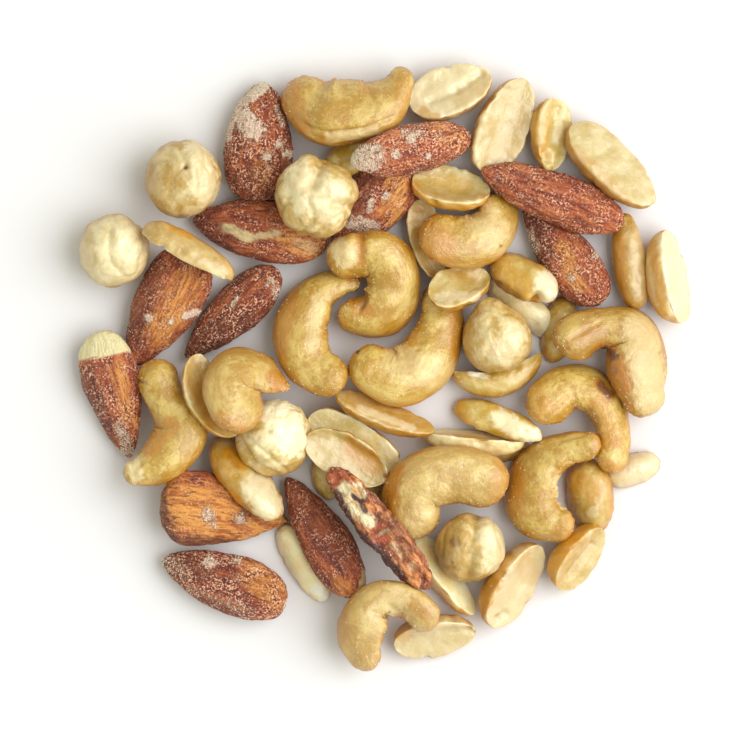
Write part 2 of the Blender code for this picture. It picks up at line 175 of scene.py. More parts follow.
# Each nut comes after those that it lies on.
PILE = (
    almond((-32.3, 25.3), (-8.8, 22.0), 10.8, point=0.66, dust=0.4, marks=(
        pale((-26.4, 23.9), (-22.7, 22.2), 0.8, 0.9), pale((-22.4, 22.2), (-17.6, 22.9), 0.6, 0.7),
        warm((-16.2, 21.8), (-11.1, 20.3), 1.7, 0.9), pale((-13.9, 21.2), (-11.8, 20.5), 1.0, 0.35),
        dark((-31.2, 24.6), (-27.1, 21.8), 2.2, 0.45))),
    almond((-8.6, 19.8), (4.6, 35.0), 10.6, tone=0.9, dust=0.5, marks=(
        warm((2.5, 31.4), (1.4, 26.3), 1.9, 1.0), powder((0.8, 29.3), width=0.8),
        powder((-1.8, 28.6), (-2.1, 26.9), 0.6), powder((-5.4, 24.9), (-1.6, 24.2), 1.3, 0.9),
        dark((-2.6, 32.0), (-4.2, 27.3), 1.8, 0.5))),
    peanut((-9.3, 33.6), (0.6, 40.4), 6.2, roll=180, tone=1.2, gold_and_shade=0.25),
    peanut((6.2, 28.8), (9.6, 15.4), 6.4, roll=-10, floor=True, tone=0.6, gold_and_shade=0.2, marks=(
        warm((6.6, 27.6), (9.2, 16.6), 3.0, 0.5),)),
    almond((-42.5, 0.2), (-31.8, 19.8), 11.6, point=0.72, blunt=0.36, dust=0.4, furrows=1.4, marks=(
        warm((-32.6, 14.7), (-37.7, 5.7), 2.6, 0.9), powder((-39.5, 8.4), width=0.8),
        powder((-35.8, 7.9), width=0.6), powder((-31.4, 9.6), (-33.1, 8.9), 0.7),
        dark((-42.6, 4.8), (-38.0, 17.1), 1.6, 0.5), dark((-28.8, 11.6), (-34.3, 3.5), 1.0, 0.4))),
    almond((-33.5, 1.8), (-17.6, 16.8), 8.4, point=0.74, tone=-1.3, dust=0.6, marks=(
        powder((-18.6, 14.5), (-17.4, 12.0), 0.9, 0.5), powder((-25.6, 10.6), (-24.6, 11.8), 0.5, 0.7),
        dark((-32.6, 3.1), (-24.1, 8.1), 2.5, 0.6))),
    almond((-43.0, -15.2), (-48.2, 6.4), 9.8, point=0.78, blunt=0.42, tone=0.7, dust=0.7, marks=(
        blanched((-51.3, 6.5), (-42.4, 8.1), 5.1), warm((-45.0, -0.1), (-42.8, -8.9), 1.4, 0.7),
        dark((-50.6, -1.4), (-46.2, -12.0), 1.4, 0.6), powder((-44.6, -9.9), (-43.4, -13.5), 1.1, 0.6))),
    almond((24.2, 27.8), (37.6, 11.2), 9.6, tone=-0.4, dust=0.5, marks=(
        warm((30.5, 20.7), (33.4, 14.0), 1.3, 0.9), dark((25.6, 25.9), (26.9, 18.4), 2.2, 0.7),
        powder((36.3, 19.1), width=0.7, strength=0.7), powder((32.4, 15.4), width=0.6, strength=0.8),
        powder((24.9, 23.2), (26.6, 20.1), 0.8, 0.5))),
    peanut((12.4, -3.5), (28.0, 0.0), 5.8, roll=-110, bow=-2.4, lean=0.12, tone=-0.1, gold_and_shade=0.1, marks=(
        pale((15.0, -0.9), (17.8, -1.3), 0.5, 0.8),)),
    peanut((18.4, 15.2), (30.0, 5.6), 6.0, roll=160, tone=1.2, gold_and_shade=0.1, top_highlight=0.3, marks=(
        pale((26.1, 7.9), (27.8, 6.2), 1.6, 0.5),)),
    peanut((31.6, 12.2), (29.0, 1.2), 6.0, roll=180, floor=True, tone=-0.1, gold_and_shade=0.35),
    peanut((50.0, 7.6), (47.2, 23.4), 8.2, roll=60, floor=True, tone=0.1, gold_and_shade=0.8, sink=0.08,
           top_highlight=0.45, marks=(
        warm((46.0, 21.2), (47.9, 9.6), 0.9, 0.8),)),
    peanut((43.4, 10.0), (41.0, 26.4), 6.0, roll=140, floor=True, gold_and_shade=0.8, tone=-1.4, marks=(
        # Painted shade on its left side and a painted highlight on its right.
        warm((40.0, 21.8), (40.9, 11.6), 1.3, 0.8), pale((44.2, 22.4), (44.0, 13.0), 1.5, 0.3))),
    peanut((16.0, -14.2), (25.2, -13.4), 4.4, roll=180, tone=-0.6, gold_and_shade=0.5),
    peanut((7.2, -12.0), (24.4, -13.5), 5.6, roll=-75, lean=0.12, tone=1.2, gold_and_shade=0.0, top_highlight=0.2),
    peanut((-12.2, -8.1), (3.1, -16.9), 7.5, roll=10, gold_and_shade=0.15, top_highlight=0.1, tone=1.1),
    peanut((-9.8, -14.8), (-8.6, -22.4), 5.4, roll=180, tone=1.2, gold_and_shade=0.2),
    peanut((-3.2, -19.4), (1.6, -26.0), 5.2, roll=180, tone=-0.8, gold_and_shade=0.3),
    peanut((38.2, -18.6), (47.6, -15.8), 5.6, roll=180, tone=-0.5, gold_and_shade=0.0, top_highlight=0.6),
    peanut((34.6, -15.4), (36.6, -28.2), 8.0, roll=180, gold_and_shade=0.3, tone=-0.4, marks=(
        # Painted shade on its left side and a painted highlight on its right.
        warm((32.9, -18.1), (35.8, -20.7), 2.0, 0.5), pale((36.0, -24.4), width=1.0, strength=0.35))),
    peanut((2.1, -46.8), (16.0, -44.4), 7.6, roll=40, gold_and_shade=0.35, tone=-0.8, top_highlight=0.35, marks=(
        groove((10.3, -45.1), (15.6, -44.6), 0.5, 0.6), warm((2.8, -43.4), (3.8, -45.1), 1.6, 0.5))),
    almond((-15.6, -25.9), (-37.5, -23.0), 12.6, point=0.90, blunt=0.34, tone=0.3, dust=0.2,
           furrows=1.5, marks=(
        warm((-34.3, -23.2), (-20.3, -27.1), 5.0, 1.0), powder((-29.5, -24.1), (-28.8, -26.1), 1.1, 0.6),
        powder((-24.1, -25.4), width=1.1, strength=0.7), dark((-37.1, -20.7), (-37.0, -27.1), 0.9, 0.7),
        dark((-35.6, -28.8), (-24.1, -30.2), 0.9, 0.7), ridge((-36.0, -22.4), (-34.3, -18.6), 1.6, 0.7),
        ridge((-29.8, -17.9), width=1.8, height=0.5), ridge((-34.3, -28.5), width=1.6, height=0.6))),
    hazelnut((-45.4, 20.2), 12.3, 12.6, heading=80, rise=-20, tone=-0.2, lobes=0.25, khaki=0.1,
             top_highlight=0.5, marks=(
        ridge((-44.8, 23.2), (-44.1, 20.1), 0.8, 0.25), groove((-45.8, 24.2), (-46.2, 21.0), 0.6, 0.25),
        # A painted highlight on its right side and painted shade on its left.
        pale((-42.8, 18.8), (-43.1, 21.8), 2.2, 0.5), warm((-49.9, 22.7), (-49.2, 18.1), 1.2, 0.4))),
    peanut((32.1, 41.2), (45.8, 27.8), 8.7, roll=-30, floor=True, tone=-1.0, gold_and_shade=0.5, sink=0.06,
           top_highlight=0.15, marks=(
        ridge((34.4, 37.1), width=0.8, height=0.25), ridge((36.0, 34.8), width=0.8, height=0.3),
        warm((32.9, 37.1), (41.4, 28.6), 1.0, 0.4))),
    peanut((28.4, 34.0), (29.2, 46.0), 7.4, roll=35, taper=-0.14, floor=True, gold_and_shade=0.5, marks=(
        ridge((28.3, 45.0), (27.3, 38.5), 0.9, 0.6), groove((29.7, 44.3), (29.0, 37.8), 0.7, 0.5),
        ridge((29.0, 37.1), (28.6, 34.9), 1.0, 0.8), groove((27.6, 36.8), (27.8, 35.4), 0.5, 0.6),
        warm((26.9, 44.0), (26.9, 37.0), 1.4, 0.5))),
    peanut((17.4, 33.5), (24.2, 49.4), 9.0, roll=20, floor=True, tone=-1.0, gold_and_shade=0.8, sink=0.30,
           top_highlight=0.25, marks=(
        warm((24.4, 43.1), (22.2, 37.1), 1.6, 0.2), ridge((17.8, 42.2), (17.4, 36.3), 2.0, 0.4))),
    peanut((4.9, 44.6), (18.6, 49.9), 8.9, roll=-20, floor=True, tone=-0.4, gold_and_shade=0.45, top_highlight=0.5, marks=(
        groove((8.2, 45.5), (12.7, 47.3), 0.5, 0.7), groove((12.7, 47.3), (16.9, 50.2), 0.6, 0.8),
        warm((13.7, 46.0), (17.4, 48.4), 1.8, 0.35), ridge((9.9, 48.4), (14.7, 50.4), 1.8, 0.3),
        warm((7.2, 43.6), (9.9, 42.2), 1.0, 0.6))),
    peanut((-7.9, -5.0), (8.9, -11.3), 5.2, roll=-40, bow=-0.5, sink=0.05, lean=0.12, tone=-1.1,
           gold_and_shade=0.9, marks=(
        warm((-5.4, -4.0), (-1.6, -5.0), 1.0, 0.5), pale((-3.7, -6.7), (5.2, -10.1), 0.6, 0.6),
        warm((7.6, -9.8), width=1.3, strength=0.5), warm((-4.5, -5.2), (6.5, -9.8), 2.0, 0.5))),
    cashew((-1.4, -0.1, 4.2), (2.8, -1.6, 4.9), (7.2, 0.9, 5.1), (9.6, 5.7, 4.3), (10.1, 11.6, 3.3),
           tone=0.2, marks=(
        dark((-4.0, 2.8), width=0.35, strength=0.9), ridge((2.0, 3.8), width=1.0, height=0.6),
        warm((12.5, 11.6), (12.7, 3.1), 1.3, 0.8), warm((5.5, 7.9), (4.5, 4.5), 1.4, 0.5),
        pale((3.1, 1.4), (9.9, -0.6), 3.0, 0.3))),
    hazelnut((19.5, 5.6), 11.9, 12.6, heading=103, rise=10, point=0.68, lobes=0.15, khaki=0.25,
             tone=-0.4, marks=(
        ridge((16.1, 11.3), (19.5, 11.3), 1.4, 0.6), warm((16.7, 9.6), width=1.3, strength=0.35),
        # A painted highlight on its right side and painted shade on its left edge.
        pale((22.7, 5.7), (21.0, 2.8), 2.2, 0.5), warm((14.7, 7.4), (15.0, 3.1), 1.2, 0.5))),
    cashew((-5.4, 14.7, 1.7), (-10.1, 13.2, 3.4), (-13.8, 7.4, 4.7), (-12.8, 1.8, 4.5), (-9.6, -1.0, 3.8),
           toast_and_shade=0.4, tone=-0.2, marks=(
        warm((-15.9, 12.0), (-17.6, 3.1), 1.8, 0.7), pale((-10.8, 11.6), (-11.8, 4.0), 1.2, 0.4),
        warm((-5.0, 14.9), width=1.0, strength=0.6))),
    cashew((-38.0, -2.0, 3.6), (-36.6, -5.7, 3.4), (-34.1, -10.5, 4.5), (-37.0, -15.0, 4.2),
           (-42.1, -17.7, 2.1), tone=0.1, toast_and_shade=0.15, marks=(
        warm((-36.0, -9.6), (-39.4, -13.5), 1.6, 0.7), pale((-42.2, -16.1), (-41.6, -17.9), 1.3, 0.7),
        ridge((-42.8, -16.6), width=0.8, height=0.4), ridge((-41.1, -17.6), width=0.7, height=0.4),
        groove((-41.7, -2.1), (-40.0, -2.5), 0.3, 0.3), dark((-41.7, -2.1), (-40.2, -2.5), 0.2, 0.5))),
    peanut((-28.6, -12.2), (-17.4, -25.4), 7.6, roll=180, lean=0.55, tone=-0.4, gold_and_shade=0.1, marks=(
        warm((-25.8, -14.4), (-23.7, -16.2), 1.1, 1.0), dark((-25.9, -15.0), (-24.7, -16.6), 0.5, 0.35),
        # The wide warm stroke along its left edge is painted shade, the pale one at its lower right a painted
        # highlight.
        warm((-25.4, -21.3), (-24.4, -22.7), 0.9, 1.0), warm((-28.6, -13.2), (-27.1, -17.9), 2.2, 0.35),
        pale((-21.0, -20.3), (-19.3, -23.4), 2.6, 0.6))),
    hazelnut((-18.3, -11.7), 13.0, 13.4, heading=40, rise=10, tone=0.3, lobes=0.2, khaki=0.1, marks=(
        groove((-24.1, -12.2), (-22.0, -16.2), 0.5, 0.5), groove((-22.0, -16.2), (-17.4, -18.3), 0.5, 0.5),
        # The pale stroke at its upper right is a painted highlight.
        groove((-23.0, -11.5), (-15.9, -17.6), 0.4, 0.3), pale((-17.6, -7.4), (-15.2, -12.2), 3.0, 0.8),
        ridge((-16.9, -6.0), width=2.0, height=0.3))),
    peanut((12.4, -6.2), (27.3, -11.4), 5.5, roll=140, tone=1.1, gold_and_shade=0.05, marks=(
        dark((17.8, -5.4), (20.1, -5.7), 0.22, 0.8), warm((13.3, -6.7), (13.9, -8.8), 1.2, 0.5),
        pale((20.1, -8.4), (25.6, -11.5), 1.6, 0.5))),
    cashew((28.6, -5.5, 4.1), (33.2, -3.0, 3.8), (37.1, -5.0, 3.7), (39.2, -9.4, 3.1), (39.4, -14.8, 2.9),
           toast_and_shade=0.35, tone=0.2, marks=(
        dark((37.2, -2.7), (38.8, -4.5), 0.7, 0.85, soft=0.2),
        warm((37.0, -2.5), (39.0, -4.7), 0.9, 1.0, soft=0.3), groove((27.6, -8.2), (31.7, -4.8), 0.4, 0.35),
        warm((28.0, -7.7), (31.4, -5.0), 0.6, 0.4), warm((26.9, -5.0), width=0.35, strength=1.0),
        # Painted shade, with browning, inside its crook.
        warm((36.8, -6.2), (38.8, -12.2), 1.7, 0.5), dark((35.1, -7.1), (36.8, -9.4), 0.9, 0.25),
        warm((26.3, -3.7), (27.3, -7.1), 1.6, 0.5), warm((38.2, -16.6), (40.2, -17.3), 1.2, 0.7))),
    almond((-37.4, -32.6), (-16.2, -39.9), 10.3, point=0.64, blunt=0.42, tone=-0.5, dust=0.85, marks=(
        powder((-36.3, -32.9), (-33.6, -34.9), 1.4, 0.35), powder((-29.2, -32.9), width=1.2, strength=0.8),
        powder((-24.7, -32.6), width=0.9, strength=0.7), powder((-32.6, -37.3), (-22.0, -41.4), 0.8, 0.38),
        warm((-22.0, -35.1), (-17.9, -38.7), 2.2, 0.9), dark((-36.3, -32.6), (-30.0, -34.6), 2.0, 0.6),
        dark((-32.6, -39.4), (-24.1, -42.4), 1.2, 0.4))),
    peanut((-17.0, -26.8), (-9.6, -39.6), 5.8, roll=170, tone=2.2, gold_and_shade=0.2, top_highlight=0.5, marks=(
        pale((-11.1, -37.7), (-9.8, -39.0), 1.0, 0.7), warm((-16.2, -28.4), (-11.2, -38.2), 2.4, 0.3))),
    almond((-16.1, -18.5), (-4.0, -38.6), 8.7, point=0.72, tone=-0.9, dust=0.35, marks=(
        pale((-2.6, -34.6), (-3.8, -37.7), 0.5, 0.7), dark((-15.6, -19.0), (-6.2, -32.6), 2.6, 0.4),
        warm((-7.1, -36.8), (-5.0, -38.0), 1.4, 0.6))),
    peanut((5.6, -28.6), (15.6, -42.0), 5.6, roll=-40, lean=0.12, tone=2.6, gold_and_shade=0.9, sink=0.05,
           top_highlight=0.3, marks=(
        warm((6.0, -30.4), (14.6, -41.2), 2.8, 0.4),)),
    hazelnut((15.0, -30.4), 11.6, 12.2, heading=100, rise=40, lobes=0.3, khaki=0.5, tone=-0.4, marks=(
        # The warm stroke on its left is painted shade, the pale stroke on its right a painted highlight.
        warm((12.5, -26.8), (12.4, -32.0), 2.6, 0.6), dark((12.6, -29.4), width=1.0, strength=0.55),
        groove((16.6, -24.4), (15.9, -28.1), 1.0, 0.8), groove((14.7, -35.6), (15.7, -31.9), 0.9, 0.9),
        pale((18.8, -25.8), (19.3, -32.9), 2.0, 0.55), ridge((18.8, -27.1), (19.1, -31.9), 2.4, 0.7),
        dark((12.2, -32.9), width=0.2, strength=0.7))),
    peanut((18.0, -43.4), (26.4, -29.8), 8.9, roll=45, floor=True, tone=-1.0, gold_and_shade=1.0, sink=0.2,
           top_highlight=0.45, marks=(
        groove((19.6, -42.6), (21.0, -41.7), 0.6, 0.6), dark((20.1, -42.2), width=0.5, strength=0.35),
        warm((23.5, -32.6), (25.6, -35.1), 2.0, 0.3), warm((16.3, -41.8), (21.3, -31.6), 1.3, 0.9))),
    peanut((29.5, -37.1), (36.7, -26.8), 8.2, roll=50, floor=True, gold_and_shade=1.0, tone=-0.5, marks=(
        groove((31.9, -35.1), (35.8, -29.8), 0.5, 0.8), ridge((33.4, -31.7), (35.4, -27.8), 0.7, 0.4),
        warm((28.4, -33.6), (33.6, -27.2), 1.5, 0.9))),
    cashew((-3.0, -48.7, 2.9), (-3.3, -44.1, 4.2), (-0.8, -39.5, 3.4), (3.5, -39.4, 3.0), (7.2, -41.9, 2.9),
           tone=-0.5, toast_and_shade=0.1, top_highlight=0.2, marks=(
        groove((1.4, -40.2), (3.1, -41.9), 0.6, 0.5), groove((-1.4, -41.4), (0.8, -42.2), 0.5, 0.4),
        warm((5.2, -39.4), (7.2, -41.9), 1.0, 0.5), warm((-5.4, -41.1), (-5.7, -46.2), 1.4, 0.35),
        dark((1.3, -41.4), width=0.25, strength=0.6), warm((-6.4, -39.6), (-7.4, -46.8), 1.2, 0.6),
        pale((-1.6, -43.0), (2.6, -39.0), 2.2, 0.5))),
    peanut((8.1, 12.2), (18.5, 15.6), 7.3, roll=-25, taper=0.15, lean=0.5, tone=-0.8, gold_and_shade=0.3,
           sink=0.30, marks=(
        groove((13.3, 16.6), (16.7, 14.9), 1.0, 0.6), warm((12.5, 16.7), (15.0, 16.1), 1.1, 0.35),
        pale((9.9, 12.0), (15.9, 12.3), 0.9, 0.6))),
    peanut((18.6, 18.0), (29.9, 12.6), 7.0, roll=180, lean=0.5, tone=0.4, gold_and_shade=0.1, marks=(
        groove((25.8, 11.1), (26.6, 12.3), 0.7, 1.0), ridge((28.1, 12.2), width=1.2, height=0.5),
        ridge((24.6, 11.8), width=1.0, height=0.5), groove((19.8, 14.5), (23.2, 12.0), 0.5, 0.5),
        # Painted shade on its left side and a painted highlight on its right.
        warm((20.1, 17.1), (23.5, 13.7), 2.2, 0.45), pale((27.8, 14.7), (28.6, 12.0), 2.0, 0.6))),
    cashew((10.5, 22.2, 4.2), (14.4, 21.5, 4.6), (18.1, 23.0, 4.6), (19.8, 26.6, 3.6), lean=0.4, toast_and_shade=0.4,
           tone=-0.4, marks=(
        # The warm stroke on its left is browning and painted shade, the pale one on its right a painted
        # highlight.
        warm((7.2, 23.9), (9.9, 19.8), 3.2, 0.7), pale((16.4, 26.6), (20.1, 21.8), 3.0, 0.4),
        dark((20.3, 20.8), width=0.25, strength=0.9), warm((16.7, 27.8), (18.1, 29.3), 1.0, 0.5),
        ridge((9.4, 18.6), width=0.8, height=0.3))),
    peanut((5.2, 31.9), (18.4, 29.6), 7.9, roll=-35, tone=-0.1, gold_and_shade=0.7, sink=0.42, marks=(
        ridge((15.0, 30.0), (16.4, 29.3), 0.9, 0.4), warm((9.9, 32.0), (14.2, 31.4), 1.4, 0.3),
        warm((5.7, 31.2), (6.5, 29.2), 1.2, 0.5))),
    cashew((33.2, 5.4, 4.1), (37.7, 6.9, 3.7), (42.6, 5.7, 4.6), (43.3, 0.8, 5.3), (44.6, -4.7, 3.7),
           toast_and_shade=0.4, tone=-0.9, marks=(
        # The warm and dark strokes in its crook are browning and painted shade, the pale one down its right
        # side a painted highlight.
        warm((37.8, 2.8), (40.9, -2.6), 2.0, 1.0), dark((38.2, 3.1), (39.4, 2.1), 0.8, 1.0),
        groove((32.0, 5.0), (37.1, 7.9), 0.4, 0.3), warm((32.0, 4.5), (36.5, 6.9), 0.8, 0.4),
        warm((31.7, 3.5), width=0.4, strength=1.0), dark((37.8, 1.8), (39.2, -0.6), 0.8, 0.4),
        warm((40.5, -3.3), (42.2, -7.1), 1.0, 0.6), pale((43.9, 6.5), (46.0, -5.4), 3.0, 0.65),
        warm((36.6, -2.6), (38.4, -9.6), 1.9, 0.8), dark((37.2, -1.6), (38.4, -7.2), 1.3, 0.3))),
    cashew((34.9, -13.2, 2.4), (30.3, -14.2, 3.2), (26.0, -18.6, 4.3), (25.9, -23.6, 4.7),
           (29.7, -26.6, 3.2), toast_and_shade=0.6, tone=-0.2, marks=(
        groove((30.3, -12.2), (34.6, -11.1), 0.4, 0.4), pale((30.5, -19.6), (31.4, -22.7), 1.4, 0.8),
        warm((22.2, -17.3), (22.5, -24.1), 1.8, 0.7), warm((30.3, -27.5), (32.9, -26.1), 1.6, 0.5),
        warm((35.8, -11.1), (36.8, -13.2), 0.7, 0.6), groove((24.4, -13.9), (30.3, -17.3), 0.5, 0.3))),
    almond((-20.2, 49.0), (-21.5, 28.5), 11.8, point=0.62, blunt=0.38, tone=-0.5, dust=0.9, marks=(
        powder((-23.4, 42.6), (-21.7, 40.4), 1.9), powder((-20.0, 48.0), (-24.6, 44.8), 1.0),
        powder((-24.7, 44.5), (-26.3, 39.5), 0.9, 0.9), powder((-20.0, 40.7), width=0.7),
        powder((-17.3, 38.0), width=0.8), powder((-19.6, 36.0), width=0.9),
        powder((-15.9, 36.5), width=0.9), powder((-17.8, 44.6), (-16.7, 41.6), 0.5, 0.7),
        warm((-20.3, 33.6), width=2.0, strength=0.7), dark((-23.2, 32.0), (-20.3, 30.0), 2.0, 0.3))),
    peanut((-40.2, 24.5), (-24.6, 16.0), 6.2, roll=100, lean=0.12, tone=-0.6, gold_and_shade=0.0, top_highlight=0.1, marks=(
        warm((-35.4, 24.2), (-32.6, 23.0), 0.9, 0.9), ridge((-37.7, 24.9), (-38.0, 22.5), 1.8, 0.3))),
    hazelnut((-33.7, 32.4), 13.2, 13.8, heading=60, rise=50, lobes=0.2, khaki=0.4, tone=-0.9, marks=(
        dark((-33.1, 34.1), width=0.4, strength=1.0), groove((-33.1, 34.1), width=0.5, depth=0.4),
        # A painted highlight on its right side and painted shade on its left.
        pale((-30.9, 37.1), (-29.8, 30.3), 2.4, 0.6), warm((-39.0, 32.0), (-37.7, 27.8), 2.0, 0.5),
        ridge((-32.2, 35.4), (-31.5, 29.5), 1.0, 0.25), groove((-34.3, 37.1), (-33.2, 34.8), 0.5, 0.25))),
    cashew((-12.5, 45.5, 4.5), (-9.6, 43.9, 5.8), (-5.4, 43.8, 5.6), (-0.6, 44.8, 4.9), (3.1, 48.9, 2.6),
           tone=-0.3, toast_and_shade=0.3, marks=(
        groove((-13.0, 41.1), (-9.1, 39.7), 0.35, 0.45), groove((-9.1, 39.7), (-3.3, 40.5), 0.35, 0.45),
        groove((-3.3, 40.5), (1.8, 42.6), 0.35, 0.4), pale((-8.8, 39.0), (-1.1, 40.4), 0.8, 0.5),
        warm((-15.9, 47.0), (-14.2, 41.4), 2.2, 0.7), warm((3.5, 48.2), (4.2, 43.9), 1.2, 0.4))),
    hazelnut((-11.3, 29.4), 13.8, 14.0, heading=130, rise=30, floor=False, tone=-0.2, lobes=0.4,
             khaki=0.25, marks=(
        groove((-10.1, 34.8), (-11.5, 31.4), 1.1, 1.5), ridge((-12.0, 36.1), width=2.2, height=0.5),
        ridge((-5.7, 32.4), (-5.4, 30.0), 2.4, 0.7), groove((-4.7, 27.6), (-7.4, 27.8), 0.8, 1.0),
        ridge((-7.7, 24.6), width=2.2, height=0.4), groove((-15.6, 27.8), (-13.9, 24.4), 0.6, 0.3),
        # The warm stroke at its left is painted shade, the pale stroke at its right a painted highlight.
        warm((-13.5, 33.4), (-12.5, 29.3), 1.2, 0.6), warm((-10.1, 27.8), (-9.6, 24.6), 1.0, 0.35),
        pale((-7.9, 30.3), (-8.8, 26.6), 2.2, 0.5), pale((-13.5, 31.5), (-9.0, 28.0), 3.6, 0.55))),
    almond((-5.1, 35.0), (15.3, 39.5), 8.5, thickness=7.4, point=0.52, blunt=0.52, tone=0.6,
           dust=1.0, marks=(
        powder((-4.0, 35.4), (-1.3, 35.8), 2.3, 0.75), powder((5.2, 39.0), width=0.9),
        powder((2.5, 36.3), width=0.8), powder((7.9, 36.0), width=0.6),
        powder((3.8, 40.0), (6.9, 39.9), 0.6, 0.6), warm((9.9, 40.5), (12.5, 38.8), 1.6, 0.5))),
    cashew((-5.7, 19.1, 3.7), (0.6, 18.4, 4.6), (2.1, 14.2, 4.6), (0.1, 9.9, 4.6), (-4.3, 8.9, 3.2),
           tone=-0.2, marks=(
        pale((-8.1, 21.5), (-6.2, 18.8), 1.8, 0.7), ridge((-5.4, 21.8), (-6.0, 19.1), 1.0, 0.4),
        groove((-3.5, 23.0), (-3.7, 19.1), 0.9, 0.7), warm((-3.5, 22.7), (-3.5, 18.1), 0.9, 0.8),
        warm((-5.0, 11.6), (-2.6, 9.9), 1.3, 0.8), dark((-2.6, 12.3), (-3.3, 10.6), 0.7, 0.4),
        groove((-4.3, 13.3), (-5.0, 11.3), 0.35, 0.3), groove((-2.6, 12.3), (-3.7, 9.6), 0.35, 0.3))),
    almond((17.2, 33.8), (41.2, 24.8), 8.9, thickness=7.4, point=0.60, lean=0.4, tone=0.5, dust=0.5,
           furrows=2.2),
    peanut((-33.2, 1.7), (-26.4, -12.2), 6.6, roll=-20, bow=-1.4, gold_and_shade=0.1, marks=(
        warm((-31.7, -2.8), (-28.8, -8.8), 1.2, 0.6), warm((-32.5, 0.5), (-27.2, -11.0), 2.6, 0.35))),
    cashew((-24.7, -6.4, 4.6), (-24.4, -1.3, 4.9), (-21.0, -0.9, 3.7), (-18.4, -2.1, 2.4),
           (-16.7, -3.0, 1.0), lean=0.6, tone=-0.3, top_highlight=0.1, marks=(
        warm((-17.9, -1.6), (-16.7, -3.3), 1.6, 0.9), groove((-20.3, 0.4), (-20.0, -3.3), 0.45, 0.3),
        groove((-19.1, 0.1), (-19.0, -3.7), 0.4, 0.3), groove((-21.5, 0.4), (-21.0, -3.3), 0.4, 0.25),
        warm((-27.1, -8.8), (-24.1, -10.5), 1.4, 0.6))),
    peanut((-12.6, -11.5), (0.9, -18.8), 7.8, roll=5, lean=0.4, tone=-1.3, gold_and_shade=0.5, sink=0.30, marks=(
        groove((-7.6, -11.6), (-0.9, -15.6), 1.1, 0.7), warm((-5.4, -12.5), (-1.6, -14.9), 0.9, 0.7),
        ridge((-5.0, -10.8), (0.3, -13.9), 1.0, 0.5), dark((0.8, -18.1), width=0.5, strength=0.9),
        warm((-5.2, -13.6), (-1.2, -16.6), 1.3, 0.6), pale((-10.6, -13.2), (-6.2, -17.2), 2.2, 0.35))),
    cashew((5.2, -24.4, 4.8), (6.0, -20.3, 5.3), (9.9, -18.3, 5.1), (14.0, -18.1, 4.9), (17.1, -19.0, 4.6),
           toast_and_shade=0.5, tone=-0.2, top_highlight=0.2, marks=(
        warm((0.4, -24.9), (1.8, -16.9), 2.0, 1.0), warm((21.2, -15.4), (20.8, -21.4), 2.6, 0.5),
        warm((2.8, -15.2), (6.5, -13.5), 0.8, 0.7), dark((13.9, -16.4), width=0.2, strength=0.6),
        pale((5.7, -25.8), (8.6, -22.4), 2.6, 0.3))),
    pecan((-8.9, -16.8), (8.1, -37.4), 7.2, 6.4, tone=0.2, marks=(
        pale((-6.2, -20.7), (-5.0, -23.4), 1.5, 1.0), pale((-4.6, -24.2), (-2.2, -25.9), 1.2, 0.9),
        pale((-4.3, -19.9), (-3.3, -21.3), 0.8, 0.9),
        dark((-4.9, -21.6), (-3.7, -22.6), 0.35, 1.0, soft=0.25),
        dark((-3.4, -22.6), (-2.8, -24.2), 0.5, 0.9, soft=0.3),
        groove((-4.9, -21.6), (-3.7, -22.6), 0.5, 0.6), warm((-7.9, -17.9), (-6.7, -19.0), 1.8, 0.7),
        pale((-1.9, -26.5), (-0.9, -25.7), 0.3, 0.4), pale((-0.8, -28.2), (1.2, -27.3), 0.3, 0.3),
        warm((-1.3, -27.6), (0.6, -26.4), 0.5, 0.7), warm((-1.2, -29.4), (0.4, -28.9), 0.9, 1.0),
        pale((1.9, -30.0), (3.7, -31.8), 0.6, 0.35), pale((5.3, -33.6), width=0.8, strength=0.35),
        # Painted shade along its lower flank.
        dark((-8.0, -21.8), (-5.4, -27.4), 1.3, 1.0), dark((-5.4, -27.4), (2.4, -35.2), 1.5, 1.0),
        ridge((-5.6, -21.0), (-2.6, -25.4), 1.4, 0.5), groove((-3.4, -26.6), (0.2, -25.4), 0.4, 0.4),
        groove((-2.6, -28.3), (1.1, -26.6), 0.4, 0.5), groove((-0.6, -30.2), (2.4, -28.4), 0.4, 0.5),
        groove((1.6, -32.6), (4.6, -31.0), 0.5, 0.4))),
)


# ---- the form of each kind, along its own +X, as rings of points ----
def rings_and_sides(rings, sides):
    """Stations from 0 to 1 along a nut, closer near its ends, and the angles round it."""
    along = (1 - np.cos(np.linspace(0, math.pi, rings + 1))) / 2
    around = np.linspace(0, 2 * math.pi, sides, endpoint=False)
    return along[:, None], around[None, :]


def points(x, y, z):
    """Rings of points from coordinates that may vary along the nut, round it, or both."""
    return np.stack(np.broadcast_arrays(x, y, z), -1)


def drop(along, point, blunt):
    """Half-breadth of a drop, 1 at its widest; a larger exponent makes that end more pointed."""
    widest = point / (point + blunt)
    return (along / widest) ** point * ((1 - along) / (1 - widest)) ** blunt


def almond_form(nut, rings, sides, breadth):
    along, around = rings_and_sides(rings, sides)
    half = drop(along, nut["point"], nut["blunt"])
    x = (along - 0.5) * length(nut)
    return points(x, breadth * nut["width"] / 2 * half * np.cos(around),
                  breadth * nut["thickness"] / 2 * half ** ALMOND_FULLNESS * np.sin(around))


